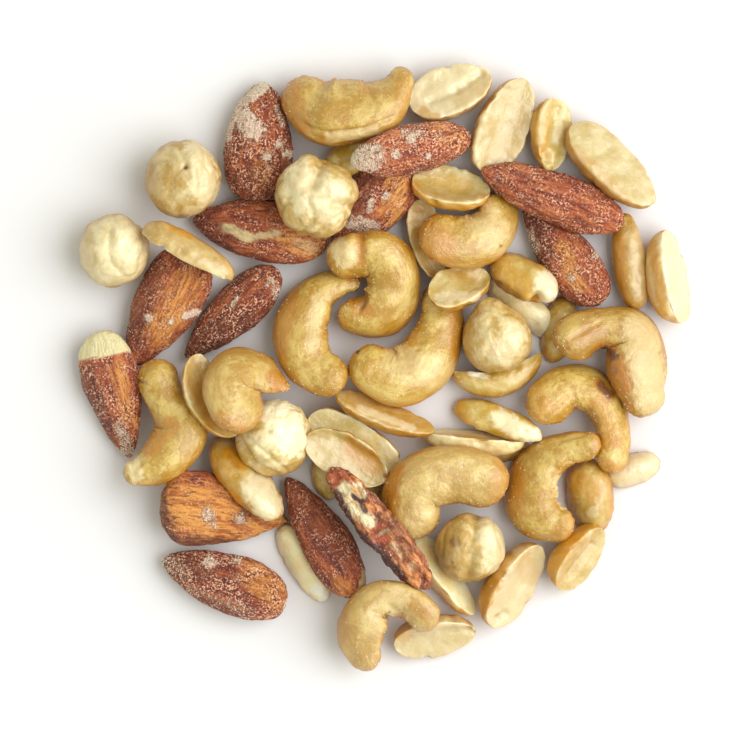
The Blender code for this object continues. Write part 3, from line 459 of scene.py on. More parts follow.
def peanut_form(nut, rings, sides, breadth):
    along, around = rings_and_sides(rings, sides)
    place = 2 * along - 1
    half = np.sqrt(np.clip(1 - np.abs(place) ** PEANUT_ENDS, 0, 1)) * (1 - nut["taper"] * place)
    up = np.clip(np.sin(around), 0, 1)
    down = np.clip(-np.sin(around), 0, 1)
    face = PEANUT_RIM * up ** PEANUT_RIM_REACH - nut["sink"] * up ** PEANUT_SINK_REACH
    across, endwise = PEANUT_DOME
    z = nut["thickness"] * (face * half - down ** across * half ** endwise + PEANUT_SEAT)
    return points(place * length(nut) / 2, breadth * nut["width"] / 2 * half * np.cos(around), z)


def pecan_form(nut, rings, sides, breadth):
    along, around = rings_and_sides(rings, sides)
    place = 2 * along - 1
    ends = np.sqrt(np.clip(1 - np.abs(place) ** PECAN_ENDS, 0, 1))
    half = ends * (1 - PECAN_LOBE_DEPTH * np.cos(PECAN_LOBES * around))
    return points(place * length(nut) / 2, breadth * nut["width"] / 2 * half * np.cos(around),
                  breadth * nut["thickness"] / 2 * half * np.sin(around))


def hazelnut_form(nut, rings, sides, breadth):
    along, around = rings_and_sides(rings, sides)
    half = breadth * nut["width"] / 2 * drop(along, nut["point"], HAZELNUT_BUTT)
    return points((0.5 - along) * nut["length"], -half * np.cos(around), half * np.sin(around))


# ---- cashews: a tube along a curved middle line ----
def spine_along(nut, share):
    """The place of the middle line and the body's radius at shares of its length, and that length."""
    knots = np.array(nut["spine"], float)
    steps = np.linalg.norm(np.diff(knots[:, :2], axis=0), axis=1)
    reached = np.concatenate([[0.0], np.cumsum(steps)])
    slopes = np.gradient(knots, reached, axis=0, edge_order=2)
    place = share * reached[-1]
    part = np.clip(np.searchsorted(reached, place, side="right") - 1, 0, len(steps) - 1)
    gap = steps[part][..., None]
    t = (place - reached[part])[..., None] / gap
    at = (knots[part] * (2 * t ** 3 - 3 * t ** 2 + 1) + knots[part + 1] * (3 * t ** 2 - 2 * t ** 3)
          + gap * (slopes[part] * (t ** 3 - 2 * t ** 2 + t) + slopes[part + 1] * (t ** 3 - t ** 2)))
    return at[..., 0], at[..., 1], at[..., 2], reached[-1]


def bends_along(nut, share):
    """The middle line's direction at shares of its length, how much it bends there, and which way."""
    fine = np.linspace(0, 1, SPINE_STEPS)
    x, y, _, arc = spine_along(nut, fine)
    direction = np.unwrap(np.arctan2(np.gradient(y), np.gradient(x)))
    sense = math.copysign(1, direction[-1] - direction[0])
    ahead = np.interp(share + BEND_REACH, fine, direction)
    behind = np.interp(share - BEND_REACH, fine, direction)
    return np.interp(share, fine, direction), sense * (ahead - behind) / (2 * BEND_REACH * arc), sense


def cashew_tube(nut, rings, sides):
    """Each ring's place along the middle line, as a length and a share, its reach past an end and radius."""
    first, last = nut["spine"][0][2], nut["spine"][-1][2]
    arc = spine_along(nut, np.zeros(1))[3]
    travelled = rings_and_sides(rings, sides)[0] * (first + arc + last) - first
    share = np.clip(travelled / arc, 0, 1)
    before = np.clip(-travelled / first, 0, 1)
    beyond = np.clip((travelled - arc) / last, 0, 1)
    radius = spine_along(nut, share)[2] * np.sqrt(1 - before ** 2) * np.sqrt(1 - beyond ** 2)
    return travelled, share, beyond * last - before * first, radius


def cashew_form(nut, rings, sides, breadth):
    """A tube whose crook never folds over itself, its two ends round caps."""
    around = rings_and_sides(rings, sides)[1]
    _, share, past, radius = cashew_tube(nut, rings, sides)
    x, y, _, _ = spine_along(nut, share)
    direction, bend, sense = bends_along(nut, share)
    inmost = (CASHEW_LEAST_CROOK - 1) / np.maximum(bend, LEAST_BEND)
    out = sense * np.maximum(breadth * radius * np.cos(around), inmost)
    middle_x, middle_y = plan_middle(nut)
    return points(x - middle_x + out * np.sin(direction) + past * np.cos(direction),
                  y - middle_y - out * np.cos(direction) + past * np.sin(direction),
                  -sense * CASHEW_FLATNESS * radius * np.sin(around))


FORMS = {"almond": almond_form, "peanut": peanut_form, "cashew": cashew_form, "hazelnut": hazelnut_form,
         "pecan": pecan_form}


# ---- laying the nuts ----
def length(nut):
    return math.dist(*nut["ends"])


def plan_middle(nut):
    """The point of the layout that a nut's form is placed over."""
    if nut["kind"] == "hazelnut":
        return nut["middle"]
    return np.mean([point[:2] for point in nut.get("spine") or nut["ends"]], axis=0)


def heading(nut):
    """The angle that a nut's length makes with +X; a cashew's middle line is already in place."""
    if nut["kind"] == "cashew":
        return 0.0
    if nut["kind"] == "hazelnut":
        return math.radians(nut["heading"])
    (start_x, start_y), (end_x, end_y) = nut["ends"]
    return math.atan2(end_y - start_y, end_x - start_x)


def turned(nut, form):
    """The form rolled, raised, bowed and turned to its heading, its outline centred across its length."""
    roll = math.radians(nut.get("roll", 0.0))
    rise = math.radians(nut.get("rise", 0.0))
    x, y, z = form[..., 0], form[..., 1], form[..., 2]
    y, z = y * math.cos(roll) - z * math.sin(roll), y * math.sin(roll) + z * math.cos(roll)
    x, z = x * math.cos(rise) - z * math.sin(rise), x * math.sin(rise) + z * math.cos(rise)
    if nut.get("bow"):
        y = y + nut["bow"] * (0.5 - (2 * x / length(nut)) ** 2)
    if nut["kind"] != "cashew":
        y = y - (y.max() + y.min()) / 2
    angle = heading(nut)
    return points(x * math.cos(angle) - y * math.sin(angle), x * math.sin(angle) + y * math.cos(angle), z)


def fine_form(nut, breadth):
    """The nut's form for laying, slimmed by breadth."""
    if nut["kind"] == "cashew":
        return turned(nut, cashew_form(nut, *CONTACT_GRID, breadth))
    return turned(nut, FORMS[nut["kind"]](nut, *CONTACT_GRID, 1.0)) * (breadth, breadth, 1.0)


def sloped(form, slope):
    """A form tipped by a slope along X and Y, which leaves its outline from above as it is."""
    return form + points(0, 0, form[..., 0] * slope[0] + form[..., 1] * slope[1])


def squares_under(nut, form):
    """The map's squares that the points of a form lie over."""
    place = ((form[..., :2] + plan_middle(nut) + MAP_HALF) / CELL).astype(int)
    return place[..., 0], place[..., 1]


def lowest_rest(nut, ground):
    """The slope, within the nut's freedom to lean, at which it rests lowest, and its height there."""
    form = fine_form(nut, CONTACT_BREADTH)
    under = ground[squares_under(nut, form)]

    def rest(slope):
        return float(np.max(under - sloped(form, slope)[..., 2]))

    slope = (0.0, 0.0)
    height = rest(slope)
    step = FIRST_TILT if nut["lean"] > 0 else 0.0
    while step > LAST_TILT:
        lower = False
        for x, y in TILT_WAYS:
            trial = (slope[0] + step * x, slope[1] + step * y)
            if math.hypot(*trial) <= nut["lean"] and rest(trial) < height - LEAST_DROP:
                slope = trial
                height = rest(trial)
                lower = True
        if not lower:
            step /= 2
    return slope, height


def lay(pile):
    """Lays the nuts in order; gives the slope and the height of each."""
    ground = np.zeros((MAP_SIDE, MAP_SIDE))
    rests = []
    for nut in pile:
        on_floor = nut.get("floor", False)
        slope, height = ((0.0, 0.0), 0.0) if on_floor else lowest_rest(nut, ground)
        form = sloped(fine_form(nut, 1.0), slope)
        lowest = -form[..., 2].min()
        height = lowest if on_floor else max(height - BITE, lowest)
        np.maximum.at(ground, squares_under(nut, form), form[..., 2] + height)
        rests.append((slope, height))
    return rests


def in_place(nut, rest, form):
    """A turned form, tipped and moved to where the nut lies."""
    slope, height = rest
    x, y = np.subtract(plan_middle(nut), LAYOUT_MIDDLE)
    return sloped(form, slope) + (x, y, height)


# ---- uneven surfaces ----
GRADIENTS = np.random.default_rng(NOISE_SEED).normal(size=(GRADIENT_COUNT, 3))
GRADIENTS /= np.linalg.norm(GRADIENTS, axis=1, keepdims=True)


def noise(place, size=1.0):
    """Smooth noise between about -1 and 1, with swellings of a size; a place moved aside gives others."""
    place = place / size
    cell = np.floor(place).astype(np.int64)
    part = place - cell
    fade = part ** 3 * (part * (part * 6 - 15) + 10)
    total = np.zeros(place.shape[:-1])
    for corner in itertools.product((0, 1), repeat=3):
        first, second, third = np.moveaxis((cell + corner) * CELL_FACTORS, -1, 0)
        pick = (first ^ second ^ third) % GRADIENT_COUNT
        weight = np.prod(np.where(corner, fade, 1 - fade), axis=-1)
        total += weight * np.sum(GRADIENTS[pick] * (part - corner), axis=-1)
    return NOISE_SWING * total


def smooth(value, low, high):
    """Rises smoothly from 0 at low to 1 at high."""
    t = np.clip((value - low) / (high - low), 0, 1)
    return t * t * (3 - 2 * t)


def lines(place, size, width):
    """1 along wandering lines about size apart, falling to 0 over their width."""
    return np.exp(-(noise(place, size) / width) ** 2)


def swellings(place, *waves):
    """The sum of swellings, each of a height and a size."""
    return sum(height * noise(place, size) for height, size in waves)


def swept(own, stretch, sway, size):
    """A place that draws a pattern out lengthwise and lets it wander to the sides."""
    return own * stretch + sway * noise(own, size)[..., None]


def stroke_reach(place, stroke):
    """How far points of the layout lie from a stroke's line."""
    start, end = np.array(stroke["start"], float), np.array(stroke["end"], float)
    way = end - start
    span = max(float(way @ way), TINY)
    share = np.clip(((place - start) @ way) / span, 0, 1)
    nearest = start + share[..., None] * way
    return np.linalg.norm(place - nearest, axis=-1)


def normals_of(form):
    """Unit normals that point out of a closed form of rings."""
    down = np.gradient(form, axis=0)
    across = np.roll(form, -1, axis=1) - np.roll(form, 1, axis=1)
    normal = np.cross(down, across)
    normal = normal / np.maximum(np.linalg.norm(normal, axis=-1, keepdims=True), TINY)
    normal[0] = normal[1].mean(axis=0)
    normal[-1] = normal[-2].mean(axis=0)
    normal /= np.maximum(np.linalg.norm(normal, axis=-1, keepdims=True), TINY)
    outward = np.sum(normal * (form - form.mean(axis=(0, 1))))
    return normal * math.copysign(1, outward)


# Each relief gives the height of the surface over the plain form, in millimetres.
def almond_relief(nut, around, own):
    """Lengthwise ridges in the skin over a slightly lumpy body."""
    ribs = swept(own, (0.16, 1.0, 1.0), 0.5, 3.5)
    furrows = swellings(ribs, (0.07, 0.95)) - 0.09 * lines(ribs + 9.0, 1.6, 0.14)
    return (swellings(own, (0.26, 5.0), (0.08, 1.2), (0.05, 0.6)) + swellings(ribs, (0.12, 1.9))
            + nut["furrows"] * furrows)


def cashew_relief(nut, around, own):
    """Soft swellings and dents, a few wandering creases, and stronger ones across the crook."""
    crook = np.clip(-np.cos(around), 0, 1) ** 1.5
    creased = smooth(noise(own + 60, 5.0), -0.3, 0.4)
    creases = creased * lines(swept(own, (0.7, 1.0, 1.0), 0.6, 2.6), 2.6, 0.12)
    crook_creases = crook * lines(own * (1.3, 0.4, 0.4), 1.4, 0.2)
    return (swellings(own, (0.30, 5.5), (0.17, 2.5), (0.07, 1.2), (0.03, 0.7)) - 0.10 * creases
            - 0.15 * crook_creases)


def hazelnut_relief(nut, around, own):
    """Lobes parted by creases, over a bare surface of soft facets."""
    creases = lines(own + 40, 4.8, 0.15)
    facets = np.abs(noise(own + 80, 4.2)) - 0.25
    return (swellings(own, (0.5 * (0.4 + nut["lobes"]), 5.0), (0.12, 2.6), (0.02, 0.9)) + 0.30 * facets
            - 0.9 * nut["lobes"] * creases)


def peanut_relief(nut, around, own):
    """A slightly uneven face and dome, with chips broken from its edge."""
    edge = np.cos(around) ** 2
    chips = smooth(noise(own + 50, 2.6), 0.25, 0.8)
    return (swellings(own, (0.22, 4.0), (0.12, 1.9), (0.05, 0.9))
            + edge * (swellings(own, (0.16, 1.3)) - 0.55 * chips))


def pecan_relief(nut, around, own):
    """Deep wandering folds, most of them lengthwise."""
    folds = swept(own, (0.6, 1.0, 1.0), 0.6, 3.0)
    return (swellings(own, (0.55, 3.6), (0.22, 1.4), (0.08, 0.6)) - 0.50 * lines(folds, 2.8, 0.2)
            - 0.12 * lines(folds + 7.0, 1.2, 0.2))


RELIEFS = {"almond": almond_relief, "peanut": peanut_relief, "cashew": cashew_relief,
           "hazelnut": hazelnut_relief, "pecan": pecan_relief}


# ---- the skin of each nut, with the values that its material reads ----
def own_place(nut, form, around):
    """Each point's place in the nut's own straight frame, so that long patterns follow a bent nut."""
    if nut["kind"] != "cashew":
        return form
    travelled, _, _, radius = cashew_tube(nut, *SKIN["cashew"])
    return points(travelled, radius * np.cos(around), radius * np.sin(around))


def marks_on(nut, plan, own, seen):
    """The height that a nut's marks add to its surface, and how far each kind of coloured mark covers it."""
    height = np.zeros(seen.shape)
    covers = {effect: np.zeros(seen.shape) for effect in COLOUR_MARKS}
    ragged = noise(own, 0.8)
    crumbs = 0.5 + np.clip(noise(own + 20, 0.75), 0, 1)
    for stroke in nut["marks"]:
        effect = stroke["effect"]
        reach = stroke_reach(plan, stroke)
        if effect in HEIGHT_MARKS:
            profile = np.exp(-(reach / stroke["width"]) ** 2)
            height += HEIGHT_MARKS[effect] * stroke["strength"] * profile * seen
            continue
        inside = (stroke["width"] - reach) / stroke["soft"] + RAGGED_EDGE * ragged
        cover = smooth(inside, -0.5, 0.5) * stroke["strength"] * seen
        if effect == "powder":
            height += CRUMB_HEIGHT * cover * crumbs
        covers[effect] = np.maximum(covers[effect], cover)
    return height, covers


def shade_by_kind(nut, values, own, around, up):
    """By kind: browning, painted shade below, a split face, clinging dust, a painted highlight on top."""
    def at_least(effect, cover):
        values[effect] = np.maximum(values[effect], cover)

    if nut["kind"] == "peanut":
        face = smooth(np.sin(around), -0.05, 0.25)
        depth = min(1.0, nut["sink"] / PEANUT_FACE_SINK)
        values["face"] = face
        # Painted shade in the hollow of the face.
        values["hollow"] = face * smooth(np.sin(around), 0.35, 1.0) * depth
        # Painted shade together with browning on the dome's downward sides.
        at_least("warm", nut["gold_and_shade"] * (1 - face) * smooth(-up + 0.4 * noise(own, 4.0), -0.9, 0.1))
    if nut["kind"] == "cashew":
        # Painted shade together with browning where a cashew turns down.
        at_least("warm", nut["toast_and_shade"] * smooth(-up + 0.6 * noise(own, 4.0), -0.6, 0.5))
    if nut["kind"] == "hazelnut":
        at_least("warm", nut["khaki"] * smooth(noise(own, 6.0), -0.4, 0.5))
    if nut["kind"] == "almond":
        at_least("powder", nut["dust"] * 0.4 * smooth(noise(own, 2.5), 0.0, 0.9))
        dusted = nut["dust"] * (0.25 + 0.75 * smooth(noise(own, 2.6), -0.4, 0.5))
        values["grit"] = dusted + 0.3 * smooth(-up, -0.5, 0.1)
    # A painted highlight: paler the more the surface faces up.
    at_least("pale", nut.get("top_highlight", 0.0) * smooth(up, -0.2, 0.6) * (1 - values["warm"]))


def skin_of(index, nut, rest):
    """One nut's finished points, in place, with the values that its material reads at each."""
    rings, sides = SKIN[nut["kind"]]
    form = FORMS[nut["kind"]](nut, rings, sides, 1.0)
    around = np.broadcast_to(rings_and_sides(rings, sides)[1], form.shape[:2])
    own = own_place(nut, form, around) + NOISE_APART * (index + 1)
    normals = normals_of(form)
    flat = turned(nut, form)
    up = (turned(nut, form + normals * NUDGE) - flat)[..., 2] / NUDGE
    plan = in_place(nut, rest, flat)[..., :2] + LAYOUT_MIDDLE
    relief = RELIEFS[nut["kind"]](nut, around, own)
    marked, values = marks_on(nut, plan, own, smooth(up, -0.25, 0.15))
    height = relief + marked
    height[0] = height[0].mean()
    height[-1] = height[-1].mean()
    placed = in_place(nut, rest, turned(nut, form + normals * height[..., None]))
    if nut.get("floor"):
        placed[..., 2] -= placed[..., 2].min()
    placed[..., 2] = np.maximum(placed[..., 2], 0.0)
    values["relief"] = relief
    # Painted shade: sides and underside darker and warmer, the more they turn down.
    values["underside_shade"] = smooth(-up, -0.92, 0.1)
    values["tone"] = np.full(form.shape[:2], nut["tone"])
    values["own"] = own
    values["salted"] = smooth(noise(own, 4.0), 0.1, 0.9)
    shade_by_kind(nut, values, own, around, up)
    return placed, values


# ---- the meshes ----
def faces_of(rings, sides, first):
    """Faces over rings of points whose first and last ring are each one point, numbered from first."""
    side = np.arange(sides)
    following = (side + 1) % sides
    starts = first + 1 + np.arange(rings - 1)[:, None] * sides
    low, high = starts[:-1], starts[1:]
    quads = np.stack([low + side, low + following, high + following, high + side], -1).reshape(-1, 4)
    last = int(starts[-1, 0])
    first_fan = np.stack([np.full(sides, first), first + 1 + following, first + 1 + side], -1)
    last_fan = np.stack([np.full(sides, last + sides), last + side, last + following], -1)
    return first_fan.tolist() + quads.tolist() + last_fan.tolist()


def gathered(grid):
    """Points or values of a grid whose end rings are each taken once."""
    return np.concatenate([grid[0, :1], grid[1:-1].reshape((-1,) + grid.shape[2:]), grid[-1, :1]])


def add_piece(name, mesh, material):
    """Puts a mesh in the scene, in the place of the solid heap."""
    mesh.materials.append(material)
    piece = bpy.data.objects.new(name, mesh)
    bpy.context.scene.collection.objects.link(piece)
    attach(piece, "root")
    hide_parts("nut_heap")


def kind_piece(kind, skins, material):
    """All nuts of one kind as one mesh."""
    rings, sides = SKIN[kind]
    verts, faces = [], []
    values = {}
    for of_kind, placed, own_values in skins:
        if of_kind != kind:
            continue
        faces += faces_of(rings, sides, sum(len(v) for v in verts))
        verts.append(gathered(placed) * MM)
        for name, grid in own_values.items():
            values.setdefault(name, []).append(gathered(grid))
    mesh = bpy.data.meshes.new(kind)
    mesh.from_pydata(np.concatenate(verts).tolist(), [], faces)
    for name, lists in values.items():
        data = np.concatenate(lists).astype(np.float32)
        if data.ndim == 2:
            mesh.attributes.new(name, "FLOAT_VECTOR", "POINT").data.foreach_set("vector", data.ravel())
        else:
            mesh.attributes.new(name, "FLOAT", "POINT").data.foreach_set("value", data)
    mesh.shade_smooth()
    add_piece(kind + "s", mesh, material)


# ---- loose salt ----
SALT_SEED = 11
SALT_GRAINS = {"almond": 3000, "cashew": 700, "hazelnut": 30, "peanut": 120, "pecan": 20}
SALT_SIZES = (0.08, 0.20)
SALT_LIFT = 0.02                # how far a grain's middle lies over the skin
SALT_ANYWHERE = 0.01            # how likely a grain is on bare skin, in powder and in the salted patches
SALT_IN_POWDER = 2.0
SALT_IN_PATCHES = 0.05
BOX_CORNERS = np.array(list(itertools.product((-0.5, 0.5), repeat=3)))
BOX_FACES = np.array(((0, 1, 3, 2), (4, 6, 7, 5), (0, 4, 5, 1), (2, 3, 7, 6), (0, 2, 6, 4), (1, 5, 7, 3)))


def random_turns(random, count):
    """Turns to any side, as matrices."""
    return np.linalg.qr(random.normal(size=(count, 3, 3)))[0]


def salt_likely(values):
    """How likely a grain is to lie at each point of a nut: nowhere on its underside, most in its powder."""
    salted = SALT_ANYWHERE + SALT_IN_POWDER * values["powder"] ** 2 + SALT_IN_PATCHES * values["salted"]
    return gathered(salted) * gathered(1 - smooth(values["underside_shade"], 0.5, 0.9))


def salt_piece(skins, material):
    """Small blocky grains that cling to the nuts' upper sides."""
    random = np.random.default_rng(SALT_SEED)
    corners = []
    for kind, count in SALT_GRAINS.items():
        places = np.concatenate([gathered(placed) for of_kind, placed, _ in skins if of_kind == kind])
        likely = np.concatenate([salt_likely(values) for of_kind, _, values in skins if of_kind == kind])
        picked = places[random.choice(len(places), count, p=likely / likely.sum())]
        sizes = random.uniform(*SALT_SIZES, size=(count, 1, 3))
        grains = (BOX_CORNERS * sizes) @ random_turns(random, count)
        corners.append(grains + (picked + (0, 0, SALT_LIFT))[:, None])
    corners = np.concatenate(corners)
    faces = (BOX_FACES + len(BOX_CORNERS) * np.arange(len(corners))[:, None, None]).reshape(-1, 4)
    mesh = bpy.data.meshes.new("salt")
    mesh.from_pydata((corners.reshape(-1, 3) * MM).tolist(), [], faces.tolist())
    add_piece("salt", mesh, material)


# ---- making nodes ----
def tint(red, green, blue):
    """A colour given as it looks on a screen, from 0 to 255, as the shader's linear colour."""
    parts = (value / 255 for value in (red, green, blue))
    return tuple(v / 12.92 if v <= 0.04045 else ((v + 0.055) / 1.055) ** 2.4 for v in parts) + (1.0,)


class Nodes:
    """Short names for making and joining the nodes of one tree."""

    def __init__(self, tree):
        self.tree = tree

    def node(self, kind, **settings):
        made = self.tree.nodes.new(kind)
        for name, value in settings.items():
            setattr(made, name, value)
        return made

    def join(self, source, socket):
        """Links a socket to another node's output, or sets it to a value."""
        if hasattr(source, "is_output"):
            self.tree.links.new(source, socket)
        else:
            socket.default_value = source

    def filled(self, made, values):
        """Joins values to a node's first sockets in turn; gives its output."""
        for value, socket in zip(values, made.inputs):
            self.join(value, socket)
        return made.outputs[0]

    def attribute(self, name, output="Fac"):
        return self.node("ShaderNodeAttribute", attribute_name=name).outputs[output]

    def maths(self, operation, *values, clamp=False):
        return self.filled(self.node("ShaderNodeMath", operation=operation, use_clamp=clamp), values)

    def times(self, first, second, clamp=False):
        return self.maths("MULTIPLY", first, second, clamp=clamp)

    def plus(self, first, second):
        return self.maths("ADD", first, second)

    def vector(self, operation, *values):
        return self.filled(self.node("ShaderNodeVectorMath", operation=operation), values)

    def ranged(self, value, low, high, out_low=0.0, out_high=1.0, kind="SMOOTHSTEP"):
        """Carries a value from one range over to another."""
        made = self.node("ShaderNodeMapRange", interpolation_type=kind)
        return self.filled(made, (value, low, high, out_low, out_high))

    def mix(self, share, first, second):
        """A share of the second colour laid over the first."""
        made = self.node("ShaderNodeMix", data_type="RGBA")
        for value, socket in zip((share, first, second), (made.inputs[0], made.inputs[6], made.inputs[7])):
            self.join(value, socket)
        return made.outputs[2]

    def noise(self, place, scale, detail=3.0, roughness=0.55, distortion=0.0):
        made = self.node("ShaderNodeTexNoise")
        settings = {"Vector": place, "Scale": scale, "Detail": detail, "Roughness": roughness,
                    "Distortion": distortion}
        for name, value in settings.items():
            self.join(value, made.inputs[name])
        return made.outputs[0]

    def group(self, tree, **values):
        made = self.node("ShaderNodeGroup", node_tree=tree)
        for name, value in values.items():
            self.join(value, made.inputs[name.replace("_", " ")])
        return made.outputs[0]


# ---- effects that several materials use ----
TONE_BY_COLOUR = (0.7, 1.0, 1.5)    # a darker nut is more roasted, so its blue falls more than its red
NO_SHIFT = (1.0, 1.0, 1.0)
PALEST = (0.90, 0.86, 0.70)
WIDEST_SPECKS = 0.30            # levels of the noise over which specks start at a share of 1 and of 0
RAREST_SPECKS = 0.78
SPECK_FADE = 0.08
CRUMB_LEVEL = 1.82              # level of the crumbs' noise at which as much of it is covered as bare
CRUMB_EDGE = (0.40, 0.85)


def new_group(name, inputs, output, kind):
    """An empty node group with named sockets; gives its tree, its nodes, its inputs and its one output."""
    tree = bpy.data.node_groups.new(name, "ShaderNodeTree")
    kinds = {"colour": "NodeSocketColor", "value": "NodeSocketFloat", "place": "NodeSocketVector"}
    for label, input_kind in inputs:
        tree.interface.new_socket(label, in_out="INPUT", socket_type=kinds[input_kind])
    tree.interface.new_socket(output, in_out="OUTPUT", socket_type=kinds[kind])
    nodes = Nodes(tree)
    given = nodes.node("NodeGroupInput").outputs
    return tree, nodes, given, nodes.node("NodeGroupOutput").inputs[output]


def marked_colour_group():
    """Lays painted shade on each nut's downward sides, then its marks and its tone, over its own colour."""
    tree, nodes, given, out = new_group(
        "marked colour",
        (("Colour", "colour"), ("Flank", "colour"), ("Flank share", "value"), ("Warm", "colour"),
         ("Pale", "colour"), ("Dark", "colour"), ("Tone step", "value")),
        "Colour", "colour")
    tone = nodes.times(nodes.attribute("tone"), given["Tone step"])
    shift = nodes.vector("MULTIPLY_ADD", tone, TONE_BY_COLOUR, NO_SHIFT)
    underside_shade = nodes.times(nodes.attribute("underside_shade"), given["Flank share"])
    colour = nodes.mix(underside_shade, given["Colour"], given["Flank"])
    for effect in ("warm", "pale", "dark"):
        colour = nodes.mix(nodes.attribute(effect), colour, given[effect.capitalize()])
    nodes.join(nodes.vector("MINIMUM", nodes.vector("MULTIPLY", colour, shift), PALEST), out)
    return tree


def specks_group():
    """A mask of small ragged specks; Size is in millimetres and Share says how much they cover."""
    tree, nodes, given, out = new_group(
        "specks", (("Place", "place"), ("Size", "value"), ("Share", "value")), "Mask", "value")
    scale = nodes.maths("DIVIDE", 1.0, given["Size"])
    pattern = nodes.noise(given["Place"], scale, 2.0, 0.6)
    edge = nodes.ranged(given["Share"], 0.0, 1.0, RAREST_SPECKS, WIDEST_SPECKS, kind="LINEAR")
    nodes.join(nodes.ranged(pattern, edge, nodes.plus(edge, SPECK_FADE)), out)
    return tree


def crumbly_group():
    """A mask of powder that clings in crumbs and thins out at its edge."""
    tree, nodes, given, out = new_group(
        "crumbly powder", (("Place", "place"), ("Amount", "value")), "Mask", "value")
    crumbs = nodes.noise(given["Place"], 1.1, 3.0, 0.7)
    grit = nodes.noise(given["Place"], 3.2, 2.0, 0.6)
    worn = nodes.plus(nodes.times(crumbs, 2.5), nodes.times(grit, 1.1))
    cover = nodes.plus(given["Amount"], nodes.maths("SUBTRACT", worn, CRUMB_LEVEL))
    nodes.join(nodes.ranged(cover, *CRUMB_EDGE), out)
    return tree


def fine_surface_group():
    """The height of shallow wrinkles and of a grain finer than the mesh, their sizes in millimetres."""
    tree, nodes, given, out = new_group(
        "fine surface",
        (("Place", "place"), ("Grain size", "value"), ("Wrinkle size", "value"), ("Grain share", "value")),
        "Height", "value")
    grain = nodes.noise(given["Place"], nodes.maths("DIVIDE", 1.0, given["Grain size"]), 2.0, 0.6)
    drawn = nodes.vector("MULTIPLY", given["Place"], (0.8, 1.0, 1.0))
    wrinkles = nodes.noise(drawn, nodes.maths("DIVIDE", 1.0, given["Wrinkle size"]), 2.0, 0.5, 0.3)
    nodes.join(nodes.plus(nodes.times(grain, given["Grain share"]), wrinkles), out)
    return tree


MARKED = marked_colour_group()
SPECKS = specks_group()
CRUMBLY = crumbly_group()
FINE_SURFACE = fine_surface_group()


# ---- materials ----
def new_material(name, **settings):
    """A material whose shader has the given settings; gives it and its shader."""
    material = bpy.data.materials.new(name)
    material.use_nodes = True
    shader = material.node_tree.nodes["Principled BSDF"]
    for label, value in settings.items():
        shader.inputs[label.replace("_", " ")].default_value = value
    return material, shader


def nut_material(name, **settings):
    """A nut's material; gives it, its nodes, its shader, and the nut's own place in millimetres."""
    translucence = {"Subsurface_Radius": (1.0, 0.6, 0.25), "Subsurface_Scale": 0.0014}
    material, shader = new_material(name, **{**translucence, **settings})
    nodes = Nodes(material.node_tree)
    return material, nodes, shader, nodes.attribute("own", "Vector")


def bumped(nodes, shader, height, distance, strength=1.0):
    """Gives the skin, and the oil on it, a surface finer than the mesh."""
    bump = nodes.node("ShaderNodeBump")
    nodes.join(height, bump.inputs["Height"])
    bump.inputs["Distance"].default_value = distance
    bump.inputs["Strength"].default_value = strength
    for socket in ("Normal", "Coat Normal"):
        nodes.join(bump.outputs[0], shader.inputs[socket])


def cashew_material():
    material, nodes, shader, own = nut_material(
        "roasted cashew", Roughness=0.45, Specular_IOR_Level=1.0, Subsurface_Weight=0.3, Coat_Weight=0.3,
        Coat_Roughness=0.22)
    clouds = nodes.noise(own, 0.28)
    grain = nodes.noise(own, 1.6, 2.0, 0.5)
    mottle = nodes.plus(nodes.times(clouds, 0.7), nodes.times(grain, 0.3))
    colour = nodes.mix(nodes.ranged(mottle, 0.40, 0.60), tint(184, 140, 34), tint(214, 186, 98))
    # Painted shade: darker and browner where the relief dips.
    hollow = nodes.ranged(nodes.attribute("relief"), -0.32, 0.05, 1.0, 0.0)
    colour = nodes.mix(nodes.times(hollow, 0.4), colour, tint(176, 128, 20))
    colour = nodes.group(MARKED, Colour=colour, Flank=tint(184, 120, 0), Flank_share=1.0,
                         Warm=tint(192, 128, 20), Pale=tint(240, 222, 168), Dark=tint(104, 60, 28),
                         Tone_step=0.25)
    glints = nodes.group(SPECKS, Place=own, Size=0.3, Share=0.2)
    colour = nodes.mix(nodes.times(glints, 0.8), colour, tint(252, 240, 206))
    nodes.join(colour, shader.inputs["Base Color"])
    surface = nodes.group(FINE_SURFACE, Place=own, Grain_size=0.3, Wrinkle_size=0.7, Grain_share=0.7)
    bumped(nodes, shader, surface, distance=0.0004, strength=0.4)
    return material


